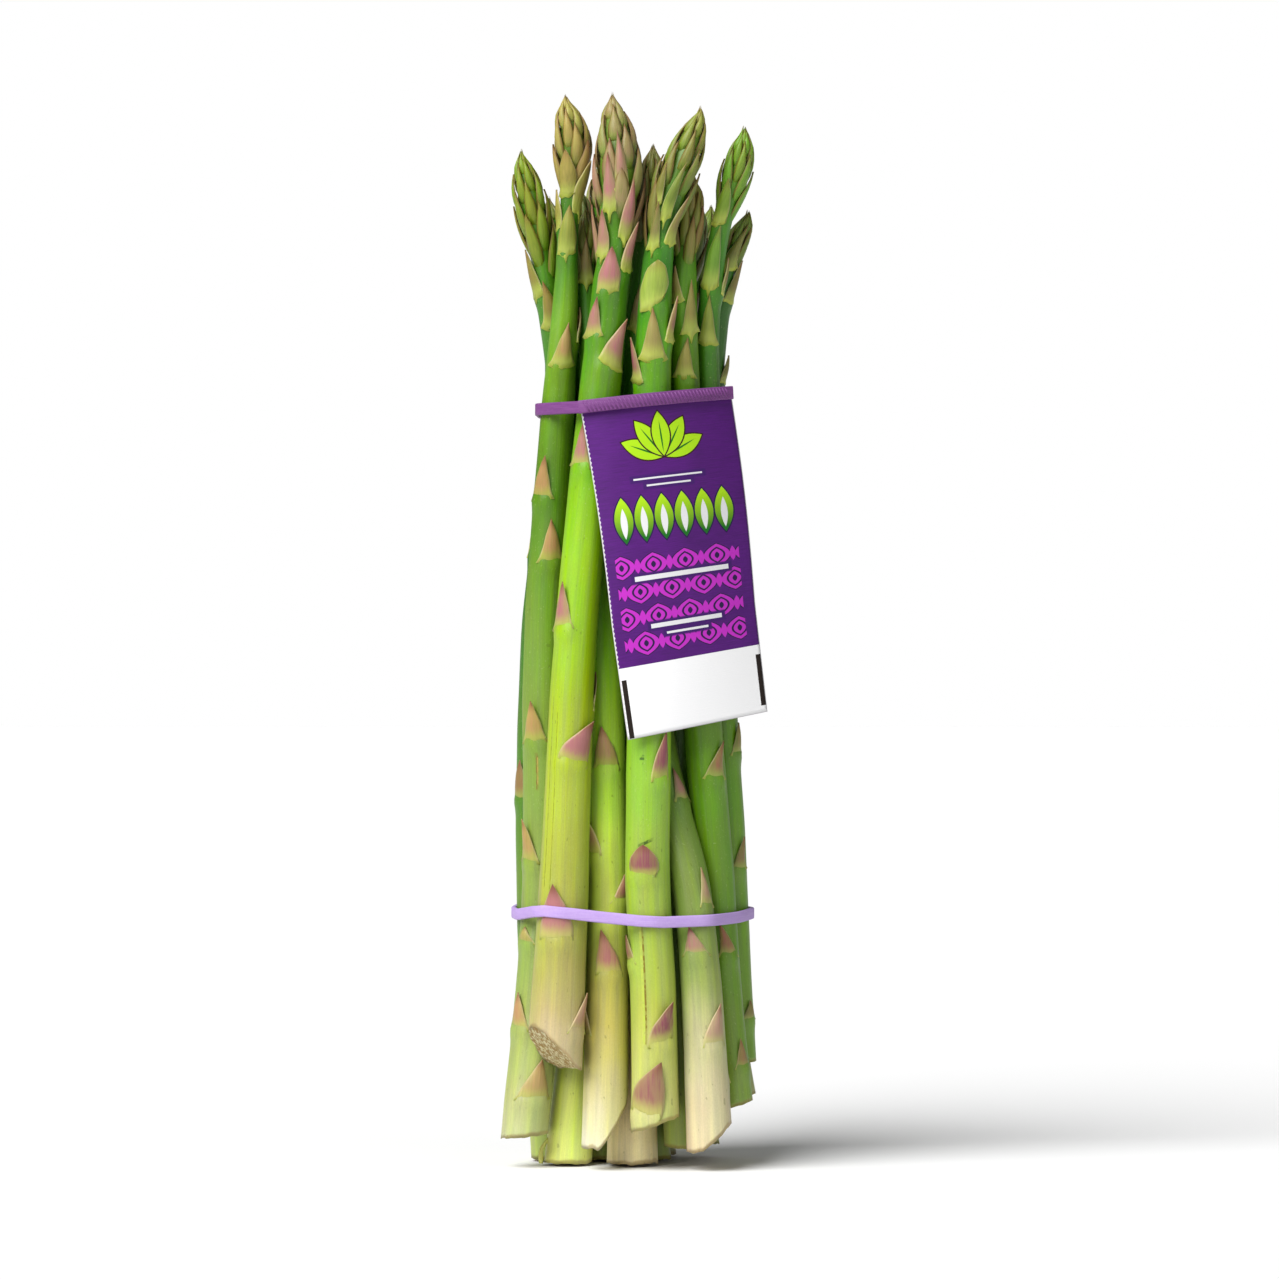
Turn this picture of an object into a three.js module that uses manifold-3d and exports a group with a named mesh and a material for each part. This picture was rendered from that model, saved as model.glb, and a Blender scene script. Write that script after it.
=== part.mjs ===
// A tied bundle of green asparagus that stands on its cut ends: nineteen spears, an elastic band whose
// front is moulded into a strip, the card tag that hangs from the strip, and a rubber band lower down.
// Millimetres, +Z up. The viewer stands at -Y, so +X is to the right.
// Every spear is one grown piece: its stem, the scale leaves on it and the tight head at its tip.
import * as THREE from "three";
import { mergeVertices } from "three/addons/utils/BufferGeometryUtils.js";
import Module from "manifold-3d";

const wasm = await Module();
wasm.setup();

// Driving dimensions
const GUIDE_HEIGHTS = [0, 52, 104, 156, 186]; // where each spear's path and thickness are stated
const BUNDLE_HEIGHT = 220;
const BOX_MIDDLE = [1.35, 3.1]; // middle of the bundle's box, which is moved to the origin
const STATION_STEP = 10; // spacing of the heights at which the spears are pushed clear of each other
const SPEAR_GAP = 0.6; // air between neighbouring spears
const SCALE_ROOM = 0.25; // room kept round each stem for the scale leaves pressed on it
const SETTLING_PASSES = 240;
const CLOSING_PASSES = 40; // the last passes only push apart
const SIDES = 10; // corners round a stem: five pointed scales in each turn of a head
const CUT_TO_RING = 6; // from the top of the cut to the first ring square to the stem
const RING_STEP = 22; // greatest spacing of the rings up a stem
const HEAD_TURNS = 6; // turns of scales in a head
const HEAD_PITCHES = 6.8; // a head's length in pitches: the last turn ends below the tip
// One turn of a head, in pitches above its foot: its lip runs from notch to tip and back, and the
// groove behind the lip is drawn in to a share of the head's radius.
const HEAD_LIP = { tip: 1.45, notch: 0.3, tipOut: 1.04, notchOut: 1.0 };
const HEAD_GROOVE = { tip: 1.15, notch: 0.5, out: 0.84 };
const SCALE_PROUD = 1.5; // how far a scale leaf's tip stands off the stem
const SCALE_EDGE = 0.85; // how far its lower edge stands off
const SCALE_LEAST = 0.15; // a leaf with less room than this is left out
const SLIVER = 0.08; // where a leaf joins a stem, corners closer than this become one
const SCALE_ROOT = 0.62; // share of the stem's radius to which its root goes in
const GOLDEN_TURN = 137.5; // degrees from one scale leaf to the next up a stem
// Leaves by rule: length and spacing at the foot, and how much less they are at the top.
const RULED_LEAF = { length: 9.5, shorter: 2, spacing: 34, closer: 22, spread: 46 };
const TOUCH_GAP = 0.35; // air between two spears that touch on the real bundle
const BAND_GAP = 0.6; // air between a band and what it holds
const BAND_CLEAR = 1.9; // scale leaves keep this far above and below the middle of a band
const OUTLINE_TURN = 15; // degrees between the points round a stem that a band runs over

// A band lies level up to one place on its way to the right, and rises or falls beyond it.
const UPPER_BAND = { height: 155.4, rise: 0.107, riseFrom: -9.8, width: 2.6, thick: 1, stripThick: 1.4 };
const LOWER_BAND = { height: 51.9, rise: -0.06, riseFrom: -12, width: 2.4, thick: 1.1 };

const STRIP_MARGIN = 0.025; // how far the strip reaches past the tag's edges, as a share of its width
const STRIP_STEPS = 16;

// The tag: x at its left and right edge, and how far back it bows (left, middle, right).
const TAG = {
  thick: 0.6,
  top: { left: -9.8, right: 20.9, back: [-16.1, -22.6, -7.8] },
  bottom: { left: 0.4, right: 28.5, back: [-21.0, -17.2, -7.2], leftHeight: 87.7, rightHeight: 93.3 },
  tuck: 0.7, // how far its top edge reaches up behind the strip, above the strip's middle
  flare: 1.1, // how far its edges bulge to the right just below the strip
};

// at: the spear's middle [x, y] at each guide height; tip: its very top
// thick: its radius at each guide height
// head: length and greatest radius of the tight head, and how far its middle bows to the right
// cut: lowest height of the cut end, rise of the cut in mm per mm, direction in which it rises (degrees)
// firm: 1 keeps its place exactly, 0 gives way to its neighbours
// leaves: [height of the base, direction it faces, length, half of its spread, lean of its tip] in mm and
// degrees, where direction 0 faces the viewer and 90 the right; more leaves are placed by rule
const SPEARS = {
  spear_left: {
    at: [[-21.5, -7.2], [-16.9, -2.2], [-17.3, -3.2], [-14.3, -4.2], [-12.2, -4.3]],
    tip: [-13.1, -5.5, 220], thick: [5.0, 4.6, 4.3, 3.5, 2.3], head: [22, 3.8, 1.9],
    cut: [5.5, 0.1, 90], firm: 0.97, tint: "mid",
    leaves: [[13.3, 16, 7.4, 46, 0], [27.5, -50, 8.2, 40, 0], [45.5, -50, 3.6, 40, 0],
      [61.7, -47, 9, 38, 0], [86.5, -30, 8, 40, 0], [123.4, 10, 9.6, 44, -8], [136.3, -38, 9.6, 46, 15],
      [163.8, 5, 9.4, 50, 12], [187, 0, 10.2, 75, 0], [192, -85, 7.6, 60, 0], [195.5, 65, 10, 60, 10]],
  },
  spear_left_behind: {
    at: [[-12.7, -0.6], [-8.6, 2.2], [-11, 3.6], [-13.4, 2.4], [-17.8, 0]],
    tip: [-22.3, -2, 209], thick: [4.9, 4.4, 4.0, 3.1, 2.5], head: [26, 3.5, 0],
    cut: [0, 0, 0], firm: 0.6, tint: "mid",
    leaves: [[171.7, 10, 9.4, 60, 0], [178.5, -60, 9, 55, 0]],
  },
  spear_thick: {
    at: [[-17.2, -14], [-13.3, -13], [-11.2, -12.8], [-6.0, -10.8], [-3.3, -10.2]],
    tip: [-3.1, -9.5, 220], thick: [6.2, 5.3, 4.5, 4.4, 3.6], head: [36, 5.3, 1.6],
    cut: [19.9, 0.75, -60], firm: 0.95, tint: "lime",
    leaves: [[29.7, 35, 6.6, 32, 25], [54, -12, 4.6, 25, 0], [45.5, -10, 4, 44, 0],
      [83, 22, 7.2, 52, 45], [109.5, -42, 9.8, 38, 8], [142.7, -34, 8.6, 32, 0],
      [163.4, 25, 10.2, 42, 35], [169.5, -42, 8.2, 38, 8], [178.6, 0, 9.6, 75, 0],
      [183.5, 55, 9.5, 45, 10]],
  },
  spear_middle: {
    at: [[-3.8, -11.5], [-4.0, -8.5], [-5.2, -4.8], [-7.2, -2.4], [-9.5, -0.4]],
    tip: [-8.9, 0.4, 197], thick: [4.8, 4.3, 4.0, 3.0, 2.2], head: [16, 2.6, 0],
    cut: [3.6, 1.2, 110], firm: 0.9, tint: "bright",
    leaves: [[27, -70, 7, 30, 0], [38.9, 0, 9, 46, -15], [54, 38, 4.2, 25, 0], [63.5, -50, 9, 34, 0],
      [81.2, 8, 8.6, 45, -15]],
  },
  spear_front: {
    at: [[5.7, -12.8], [5.4, -13], [4.7, -12.8], [5.1, -11.2], [5.9, -10.8]],
    tip: [15.4, -11.5, 217], thick: [4.9, 4.6, 4.5, 4.1, 3.2], head: [30, 4.4, -1],
    cut: [7.2, 0.33, 90], firm: 0.95, tint: "bright",
    leaves: [[10.8, -8, 11, 52, 15], [25.6, 14, 8, 50, 15], [41.5, -68, 6, 28, 0],
      [59.5, -10, 6.5, 50, 0], [78.9, 31, 10, 34, 12], [160.2, -52, 8.2, 28, 0],
      [164.6, 0, 11.3, 44, 0], [168.5, 62, 9.5, 30, 0], [177, -4, 9, 75, 0]],
  },
  spear_right_front: {
    at: [[16.2, -11.5], [12.7, -11], [3.6, -3.6], [1.0, -4.2], [2.6, -4.6]],
    tip: [4.5, -4.5, 210], thick: [5.0, 4.1, 3.8, 3.2, 2.5], head: [22, 3.0, 0],
    cut: [2.9, 0.6, 90], firm: 0.75, tint: "grey",
    leaves: [[24.5, 25, 9, 38, 25], [42, -7, 5.2, 40, -10], [54, 40, 7.5, 26, 0],
      [74.5, 50, 6.5, 34, -15]],
  },
  spear_right: {
    at: [[22.6, -4.6], [17.5, -3], [14.2, -8.3], [11.8, -6.4], [11.7, -5.8]],
    tip: [13.7, -5.5, 203.4], thick: [4.4, 4.0, 3.9, 3.2, 2.5], head: [20, 2.7, 0],
    cut: [10.7, 0.3, 90], firm: 0.97, tint: "dark",
    leaves: [[19.5, 43, 5.4, 30, 0], [42.5, 27, 5.4, 30, -25], [79, 25, 7.5, 38, 35],
      [161.4, 0, 7.6, 48, 15], [170.5, 25, 10, 42, 0], [177, -40, 7.4, 42, 0]],
  },
  spear_right_edge: {
    at: [[24.0, 4.5], [21.1, 5.4], [18.6, -1.2], [16.4, -0.8], [16.8, -3.2]],
    tip: [23.6, -5.5, 213.4], thick: [3.7, 3.4, 3.3, 2.7, 2.2], head: [20, 3.0, 1.6],
    cut: [19.9, 0.1, 90], firm: 0.95, tint: "dark",
    leaves: [[29, 50, 4, 40, 0], [60, 32, 6.2, 34, 10], [84, 60, 7, 40, 0], [168.5, 0, 10, 55, 0],
      [180, -15, 12, 60, 0]],
  },
  spear_right_behind: {
    at: [[13.5, 7.5], [14.5, 6.6], [16, 6], [16.6, 5.6], [20.2, 3.2]],
    tip: [25.6, 1.5, 196.8], thick: [4.3, 3.9, 3.5, 2.7, 2.2], head: [16, 2.5, 0],
    cut: [3.4, 0, 0], firm: 0.3, tint: "dark",
    leaves: [[177.5, 60, 8, 55, 0]],
  },
  spear_second_middle: {
    at: [[0.6, -1.8], [0.8, 0.5], [-1.5, 4], [-3, 4.5], [-4.5, 3]],
    tip: [-6, 2.5, 192], thick: [5.4, 4.4, 4.0, 3.2, 2.4], head: [18, 3.0, 0],
    cut: [0, 0, 0], firm: 0.3, tint: "dark",
    leaves: [],
  },
  spear_second_right: {
    at: [[12.1, -2.2], [8.8, -2.4], [11, 0.8], [8.5, 1.5], [8.5, 1.5]],
    tip: [9, 1, 195], thick: [4.7, 3.7, 3.6, 3.0, 2.4], head: [20, 3.0, 0],
    cut: [3.4, 0.1, 180], firm: 0.3, tint: "dark",
    leaves: [],
  },
  spear_left_third: {
    at: [[-14, 9.2], [-17.2, 6.9], [-17.4, 6], [-13, 10], [-15.5, 9]],
    tip: [-17, 9.5, 196], thick: [4.5, 4.2, 3.8, 3.0, 2.3], head: [22, 3.1, 0],
    cut: [0, 0, 0], firm: 0.2, tint: "dark",
    leaves: [],
  },
  spear_inner_left: {
    at: [[-4.5, 8], [-8.6, 11], [-9, 11.5], [-6, 10.5], [-8.5, 9.5]],
    tip: [-10.5, 9, 203], thick: [4.6, 4.3, 3.9, 3.2, 2.5], head: [24, 3.4, 0],
    cut: [0, 0, 0], firm: 0.2, tint: "dark",
    leaves: [],
  },
  spear_inner_middle: {
    at: [[5.5, 7.4], [-0.5, 10.5], [-1, 12], [1.2, 10.5], [0.5, 9]],
    tip: [-1, 9, 207], thick: [4.4, 4.2, 3.9, 3.2, 2.6], head: [24, 3.5, 0],
    cut: [0, 0, 0], firm: 0.2, tint: "dark",
    leaves: [],
  },
  spear_inner_right: {
    at: [[16.5, 14.5], [8.5, 8], [7.5, 9.5], [8.4, 9.5], [12, 8]],
    tip: [14.5, 7.5, 200], thick: [4.2, 4.1, 3.8, 3.1, 2.4], head: [22, 3.2, 0],
    cut: [2.4, 0, 0], firm: 0.2, tint: "dark",
    leaves: [],
  },
  spear_back_left: {
    at: [[-13, 18.5], [-15, 15.5], [-14.5, 15], [-10, 16], [-13.5, 17.5]],
    tip: [-16.5, 20, 201], thick: [4.4, 4.1, 3.8, 3.2, 2.6], head: [24, 3.4, 0],
    cut: [0, 0, 0], firm: 0.2, tint: "dark",
    leaves: [],
  },
  spear_back_middle_left: {
    at: [[-3.5, 17.6], [-6, 19.4], [-5, 19.5], [-2.5, 17.5], [-4.5, 19]],
    tip: [-5.5, 21.5, 209], thick: [4.6, 4.3, 4.0, 3.4, 2.8], head: [28, 3.9, 0],
    cut: [0, 0, 0], firm: 0.2, tint: "dark",
    leaves: [],
  },
  spear_back_middle_right: {
    at: [[6.5, 16.5], [3.5, 18.4], [4.5, 18.5], [4.8, 16.5], [4.5, 18]],
    tip: [5.5, 20.5, 205], thick: [4.6, 4.3, 4.0, 3.3, 2.7], head: [26, 3.7, 0],
    cut: [0, 0, 0], firm: 0.2, tint: "dark",
    leaves: [],
  },
  spear_back_right: {
    at: [[21.5, 13], [13, 15.6], [13, 14.6], [12.4, 14.4], [14, 15.5]],
    tip: [17.5, 17.5, 199], thick: [4.2, 4.0, 3.7, 3.0, 2.4], head: [22, 3.2, 0],
    cut: [11.5, 0.2, 90], firm: 0.2, tint: "dark",
    leaves: [],
  },
};

const TINTS = { lime: 0x9cc244, bright: 0x86b84a, mid: 0x74a347, grey: 0x7f9a58, dark: 0x4f8a35 };
const ELASTIC_COLOUR = 0x6f3a92;
const TAG_COLOUR = 0x5c2f86;
const RUBBER_COLOUR = 0xa284dd;

const radians = (degrees) => (degrees * Math.PI) / 180;
const clamp = (value, low, high) => Math.min(Math.max(value, low), high);

// A smooth value at one height through values stated at rising heights, straight on beyond both ends.
function through(heights, values, height) {
  const last = heights.length - 1;
  const slopeAt = (k) => {
    const below = Math.max(k - 1, 0);
    const above = Math.min(k + 1, last);
    return (values[above] - values[below]) / (heights[above] - heights[below]);
  };
  if (height <= heights[0]) {
    return values[0] + slopeAt(0) * (height - heights[0]);
  }
  if (height >= heights[last]) {
    return values[last] + slopeAt(last) * (height - heights[last]);
  }
  let k = 0;
  while (height > heights[k + 1]) {
    k += 1;
  }
  const span = heights[k + 1] - heights[k];
  const t = (height - heights[k]) / span;
  const start = values[k] * (1 + 2 * t) + slopeAt(k) * span * t;
  const end = values[k + 1] * (3 - 2 * t) - slopeAt(k + 1) * span * (1 - t);
  return start * (1 - t) ** 2 + end * t ** 2;
}

// The plain taper of the stem, and the swelling of the head towards its pointed tip.
function spearRadius(spear, height) {
  const [headLength, headRadius] = spear.head;
  const neck = spear.tip[2] - headLength;
  const stem = through(GUIDE_HEIGHTS, spear.thick, clamp(height, 0, Math.max(neck, 186)));
  if (height <= neck) {
    return stem;
  }
  const t = clamp((height - neck) / headLength, 0, 1);
  if (t < 0.5) {
    const swell = Math.sin(t * Math.PI) ** 2;
    return stem + (headRadius - stem) * swell;
  }
  return Math.max(headRadius * (1 - (2 * t - 1) ** 2.2), 0.35);
}

// Pushes the spears clear of each other, height by height, while each keeps close to its stated path.
function settleSpears(spears) {
  const stations = [];
  for (let height = 0; height <= BUNDLE_HEIGHT; height += STATION_STEP) {
    stations.push(height);
  }
  for (const spear of spears) {
    const heights = [...GUIDE_HEIGHTS, spear.tip[2]];
    const xs = [...spear.at.map((place) => place[0]), spear.tip[0]];
    const ys = [...spear.at.map((place) => place[1]), spear.tip[1]];
    const [headLength, , bow] = spear.head;
    spear.guide = stations.map((height) => {
      const along = clamp((height - spear.tip[2] + headLength) / headLength, 0, 1);
      const x = through(heights, xs, height) + bow * Math.sin(Math.PI * along);
      return [x, through(heights, ys, height)];
    });
    spear.path = spear.guide.map((place) => [...place]);
    spear.room = stations.map((height) => spearRadius(spear, height) + SCALE_ROOM);
    spear.there = stations.map((height) => height > spear.cut[0] - 8 && height < spear.tip[2] + 4);
  }
  for (let pass = 0; pass < SETTLING_PASSES; pass += 1) {
    pushApart(spears, stations.length);
    if (pass < SETTLING_PASSES - CLOSING_PASSES) {
      spears.forEach(easeBack);
    }
  }
  for (const spear of spears) {
    const xs = spear.path.map((place) => place[0]);
    const ys = spear.path.map((place) => place[1]);
    spear.middle = (height) => [through(stations, xs, height), through(stations, ys, height)];
  }
}

function pushApart(spears, count) {
  for (let k = 0; k < count; k += 1) {
    for (let i = 0; i < spears.length; i += 1) {
      for (let j = i + 1; j < spears.length; j += 1) {
        if (spears[i].there[k] && spears[j].there[k]) {
          pushPair(spears[i], spears[j], k);
        }
      }
    }
  }
}

// A firm spear keeps its place from side to side and gives way a little from front to back.
function pushPair(one, other, k) {
  const dx = other.path[k][0] - one.path[k][0];
  const dy = other.path[k][1] - one.path[k][1];
  const distance = Math.max(Math.hypot(dx, dy), 0.01);
  const short = one.room[k] + other.room[k] + SPEAR_GAP - distance;
  if (short <= 0) {
    return;
  }
  const looseOne = 1.02 - one.firm;
  const looseOther = 1.02 - other.firm;
  const share = looseOne / (looseOne + looseOther);
  const push = short * 0.6;
  one.path[k][0] -= (dx / distance) * push * share;
  one.path[k][1] -= (dy / distance) * push * share;
  other.path[k][0] += (dx / distance) * push * (1 - share);
  other.path[k][1] += (dy / distance) * push * (1 - share);
}

// Smooths a spear's departure from its stated path and draws it back a little.
function easeBack(spear) {
  const { path, guide } = spear;
  const shift = path.map((place, k) => [place[0] - guide[k][0], place[1] - guide[k][1]]);
  path.forEach((place, k) => {
    const below = shift[Math.max(k - 1, 0)];
    const above = shift[Math.min(k + 1, shift.length - 1)];
    for (const axis of [0, 1]) {
      const smooth = shift[k][axis] * 0.5 + (below[axis] + above[axis]) * 0.25;
      place[axis] = guide[k][axis] + smooth * (1 - 0.05 * spear.firm - 0.002);
    }
  });
}

// A point on a ring square to the spear: direction 0 faces the viewer, 90 the right.
function ringPoint(spear, height, direction, radius) {
  const [x, y] = spear.middle(height);
  const [xUp, yUp] = spear.middle(height + 1);
  const tangent = new THREE.Vector3(xUp - x, yUp - y, 1).normalize();
  const front = new THREE.Vector3(0, -1, 0).addScaledVector(tangent, tangent.y).normalize();
  const right = new THREE.Vector3().crossVectors(tangent, front);
  const angle = radians(direction);
  return new THREE.Vector3(x, y, height)
    .addScaledVector(front, radius * Math.cos(angle))
    .addScaledVector(right, radius * Math.sin(angle));
}

// A closed skin over rings of points, with a middle point at each end.
function skinOverRings(rings, bottomPoint, topPoint) {
  const count = rings[0].length;
  const points = [bottomPoint, ...rings.flat(), topPoint];
  const top = points.length - 1;
  const faces = [];
  for (let j = 0; j < count; j += 1) {
    const next = (j + 1) % count;
    faces.push([0, 1 + next, 1 + j]);
    for (let k = 0; k + 1 < rings.length; k += 1) {
      const low = 1 + k * count;
      const high = low + count;
      faces.push([low + j, low + next, high + next], [low + j, high + next, high + j]);
    }
    faces.push([top - count + j, top - count + next, top]);
  }
  return { points, faces };
}

function toGeometry({ points, faces }) {
  const geometry = new THREE.BufferGeometry();
  const places = points.flatMap((point) => [point.x, point.y, point.z]);
  geometry.setAttribute("position", new THREE.Float32BufferAttribute(places, 3));
  geometry.setIndex(faces.flat());
  return geometry;
}

function toSolid(skin) {
  const merged = mergeVertices(toGeometry(skin), 1e-4);
  const vertProperties = new Float32Array(merged.attributes.position.array);
  const triVerts = new Uint32Array(merged.index.array);
  return new wasm.Manifold(new wasm.Mesh({ numProp: 3, vertProperties, triVerts }));
}

function fromSolid(solid) {
  const mesh = solid.getMesh();
  const geometry = new THREE.BufferGeometry();
  geometry.setAttribute("position", new THREE.Float32BufferAttribute(mesh.vertProperties, mesh.numProp));
  geometry.setIndex(new THREE.Uint32BufferAttribute(mesh.triVerts, 1));
  geometry.computeVertexNormals();
  return geometry;
}

// The stem from its cut end to the neck, then the head: turns of five pointed scales, each turn
// coming out from behind the tips of the turn below.
function spearBody(spear) {
  const [cutHeight, cutRise, cutDirection] = spear.cut;
  const neck = spear.tip[2] - spear.head[0];
  const turn = (j) => (j * 360) / SIDES;
  const radius = (height) => spearRadius(spear, height);
  const rings = [];
  const endRadius = radius(cutHeight);
  const reach = cutHeight + 2 * cutRise * endRadius;
  rings.push(
    [...Array(SIDES).keys()].map((j) => {
      const rise = cutRise * endRadius * (1 + Math.cos(radians(turn(j) - cutDirection)));
      const point = ringPoint(spear, cutHeight + rise, turn(j), endRadius);
      point.z = cutHeight + rise;
      return point;
    }),
  );
  const start = reach + CUT_TO_RING;
  const steps = Math.ceil((neck - start) / RING_STEP);
  for (let k = 0; k <= steps; k += 1) {
    const height = start + ((neck - start) * k) / steps;
    rings.push([...Array(SIDES).keys()].map((j) => ringPoint(spear, height, turn(j), radius(height))));
  }
  const pitch = (spear.tip[2] - neck) / HEAD_PITCHES;
  for (let k = 0; k < HEAD_TURNS; k += 1) {
    const low = neck + k * pitch;
    rings.push(
      [...Array(SIDES).keys()].map((j) => {
        const isTip = (j + k) % 2 === 0;
        const height = low + pitch * (isTip ? HEAD_LIP.tip : HEAD_LIP.notch);
        const out = isTip ? HEAD_LIP.tipOut : HEAD_LIP.notchOut;
        return ringPoint(spear, height, turn(j), radius(height) * out);
      }),
    );
    rings.push(
      [...Array(SIDES).keys()].map((j) => {
        const wasTip = (j + k) % 2 === 0;
        const height = low + pitch * (wasTip ? HEAD_GROOVE.tip : HEAD_GROOVE.notch);
        return ringPoint(spear, height, turn(j), radius(height) * HEAD_GROOVE.out);
      }),
    );
  }
  const base = new THREE.Vector3();
  rings[0].forEach((point) => base.addScaledVector(point, 1 / SIDES));
  const [tipX, tipY] = spear.middle(spear.tip[2]);
  return skinOverRings(rings, base, new THREE.Vector3(tipX, tipY, spear.tip[2]));
}

// How far a scale leaf may stand off at one place before it would meet a neighbouring spear.
function freeRoom(spear, spears, point) {
  let room = Infinity;
  for (const other of spears) {
    if (other !== spear && point.z > other.cut[0] - 4 && point.z < other.tip[2] + 2) {
      const [x, y] = other.middle(point.z);
      const gap = Math.hypot(point.x - x, point.y - y) - spearRadius(other, point.z);
      room = Math.min(room, (gap - TOUCH_GAP) / 2);
    }
  }
  return room;
}

// One scale leaf: a pointed triangle that clasps the stem, with a low spur in the middle of its base.
function scaleLeaf(spear, spears, [height, direction, length, spread, lean]) {
  const outline = [
    [-1, 0.14, SCALE_EDGE * 0.7, 0], [0, -0.1, SCALE_EDGE, 0], [1, 0.14, SCALE_EDGE * 0.7, 0],
    [-0.62, 0.5, SCALE_EDGE, 0.5], [0, 0.45, SCALE_PROUD, 0.5], [0.62, 0.5, SCALE_EDGE, 0.5],
    [0, 1, SCALE_PROUD, 1],
  ];
  const outer = [];
  const inner = [];
  for (const [side, along, proud, leaning] of outline) {
    const z = height + along * length;
    const turn = direction + side * spread + lean * leaning;
    const radius = spearRadius(spear, z);
    const surface = ringPoint(spear, z, turn, radius);
    const stand = Math.min(proud, freeRoom(spear, spears, surface));
    if (stand < SCALE_LEAST) {
      return null;
    }
    outer.push(ringPoint(spear, z, turn, radius + stand));
    inner.push(ringPoint(spear, z, turn, radius * SCALE_ROOT));
  }
  const outerFaces = [[0, 1, 4], [0, 4, 3], [1, 2, 4], [2, 5, 4], [3, 4, 6], [4, 5, 6]];
  const rim = [0, 1, 2, 5, 6, 3];
  const faces = outerFaces.map((face) => [...face]);
  outerFaces.forEach(([a, b, c]) => faces.push([a + 7, c + 7, b + 7]));
  rim.forEach((from, k) => {
    const to = rim[(k + 1) % rim.length];
    faces.push([from, from + 7, to + 7], [from, to + 7, to]);
  });
  return { points: [...outer, ...inner], faces };
}

// Leaves by rule: spaced closer towards the tip, each turned by the golden angle, clear of the bands.
function ruledLeaves(spear, seed) {
  const neck = spear.tip[2] - spear.head[0];
  const leaves = [];
  let height = spear.cut[0] + 12 + ((seed * 7) % 11);
  let direction = (seed * 101) % 360;
  while (height < neck - 4) {
    const up = height / BUNDLE_HEIGHT;
    leaves.push([height, direction, RULED_LEAF.length - RULED_LEAF.shorter * up, RULED_LEAF.spread, 0]);
    direction += GOLDEN_TURN;
    height += RULED_LEAF.spacing - RULED_LEAF.closer * up;
  }
  return leaves;
}

function bandHeight(band, x) {
  return band.height + band.rise * Math.max(x - band.riseFrom, 0);
}

function crossesBand(spear, leaf) {
  const [low, , length] = leaf;
  return [UPPER_BAND, LOWER_BAND].some((band) => {
    const [x] = spear.middle(band.height);
    const middle = bandHeight(band, x);
    return low - 0.1 * length < middle + BAND_CLEAR && low + length > middle - BAND_CLEAR;
  });
}

// Listed leaves stay; a leaf by rule is left out where a listed one faces much the same way close by.
function leavesOf(spear, seed) {
  const ruled = ruledLeaves(spear, seed).filter((leaf) =>
    spear.leaves.every((listed) => {
      const apart = Math.abs(listed[0] - leaf[0]);
      const turned = Math.abs(((listed[1] - leaf[1] + 540) % 360) - 180);
      const facesViewer = Math.abs(((leaf[1] + 540) % 360) - 180) < 90;
      return !(facesViewer && spear.leaves.length > 3) && !(apart < 10 && turned < 100);
    }),
  );
  return [...spear.leaves, ...ruled].filter((leaf) => !crossesBand(spear, leaf));
}

function makeSpear(spear, spears, seed) {
  let solid = toSolid(spearBody(spear));
  for (const leaf of leavesOf(spear, seed)) {
    const skin = scaleLeaf(spear, spears, leaf);
    if (skin) {
      solid = solid.add(toSolid(skin));
    }
  }
  return fromSolid(solid.asOriginal().simplify(SLIVER));
}

// A point on the tag's middle layer: across runs from its left edge to its right, down from 0 to 1.
function tagPoint(across, down) {
  const mix = (from, to, share) => from + (to - from) * share;
  const flare = TAG.flare * Math.sin(Math.PI * Math.min(down * 2.2, 1));
  const topX = mix(TAG.top.left, TAG.top.right, across);
  const x = mix(topX, mix(TAG.bottom.left, TAG.bottom.right, across), down);
  const bow = ([left, middle, right]) =>
    left * (1 - across) ** 2 + 2 * middle * across * (1 - across) + right * across ** 2;
  const lowHeight = mix(TAG.bottom.leftHeight, TAG.bottom.rightHeight, across);
  const y = mix(bow(TAG.top.back), bow(TAG.bottom.back), down);
  return new THREE.Vector3(x + flare, y, mix(bandHeight(UPPER_BAND, x) + TAG.tuck, lowHeight, down));
}

function makeTag(columns, rows) {
  const points = [];
  for (const side of [-1, 1]) {
    for (let row = 0; row <= rows; row += 1) {
      for (let column = 0; column <= columns; column += 1) {
        const point = tagPoint(column / columns, row / rows);
        const beside = tagPoint(column / columns + 0.01, row / rows);
        const along = new THREE.Vector3().subVectors(beside, point).setZ(0).normalize();
        const away = new THREE.Vector3(along.y, -along.x, 0);
        points.push(point.addScaledVector(away, (-side * TAG.thick) / 2));
      }
    }
  }
  const wide = columns + 1;
  const layer = wide * (rows + 1);
  const faces = [];
  for (let row = 0; row < rows; row += 1) {
    for (let column = 0; column < columns; column += 1) {
      const a = row * wide + column;
      const [b, c, d] = [a + wide, a + wide + 1, a + 1];
      faces.push([a, b, c], [a, c, d]);
      faces.push([a + layer, c + layer, b + layer], [a + layer, d + layer, c + layer]);
    }
  }
  const edge = [];
  for (let row = 0; row < rows; row += 1) {
    edge.push(row * wide);
  }
  for (let column = 0; column < columns; column += 1) {
    edge.push(rows * wide + column);
  }
  for (let row = rows; row > 0; row -= 1) {
    edge.push(row * wide + columns);
  }
  for (let column = columns; column > 0; column -= 1) {
    edge.push(column);
  }
  edge.forEach((from, k) => {
    const to = edge[(k + 1) % edge.length];
    faces.push([from, from + layer, to + layer], [from, to + layer, to]);
  });
  return toGeometry({ points, faces });
}

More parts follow.
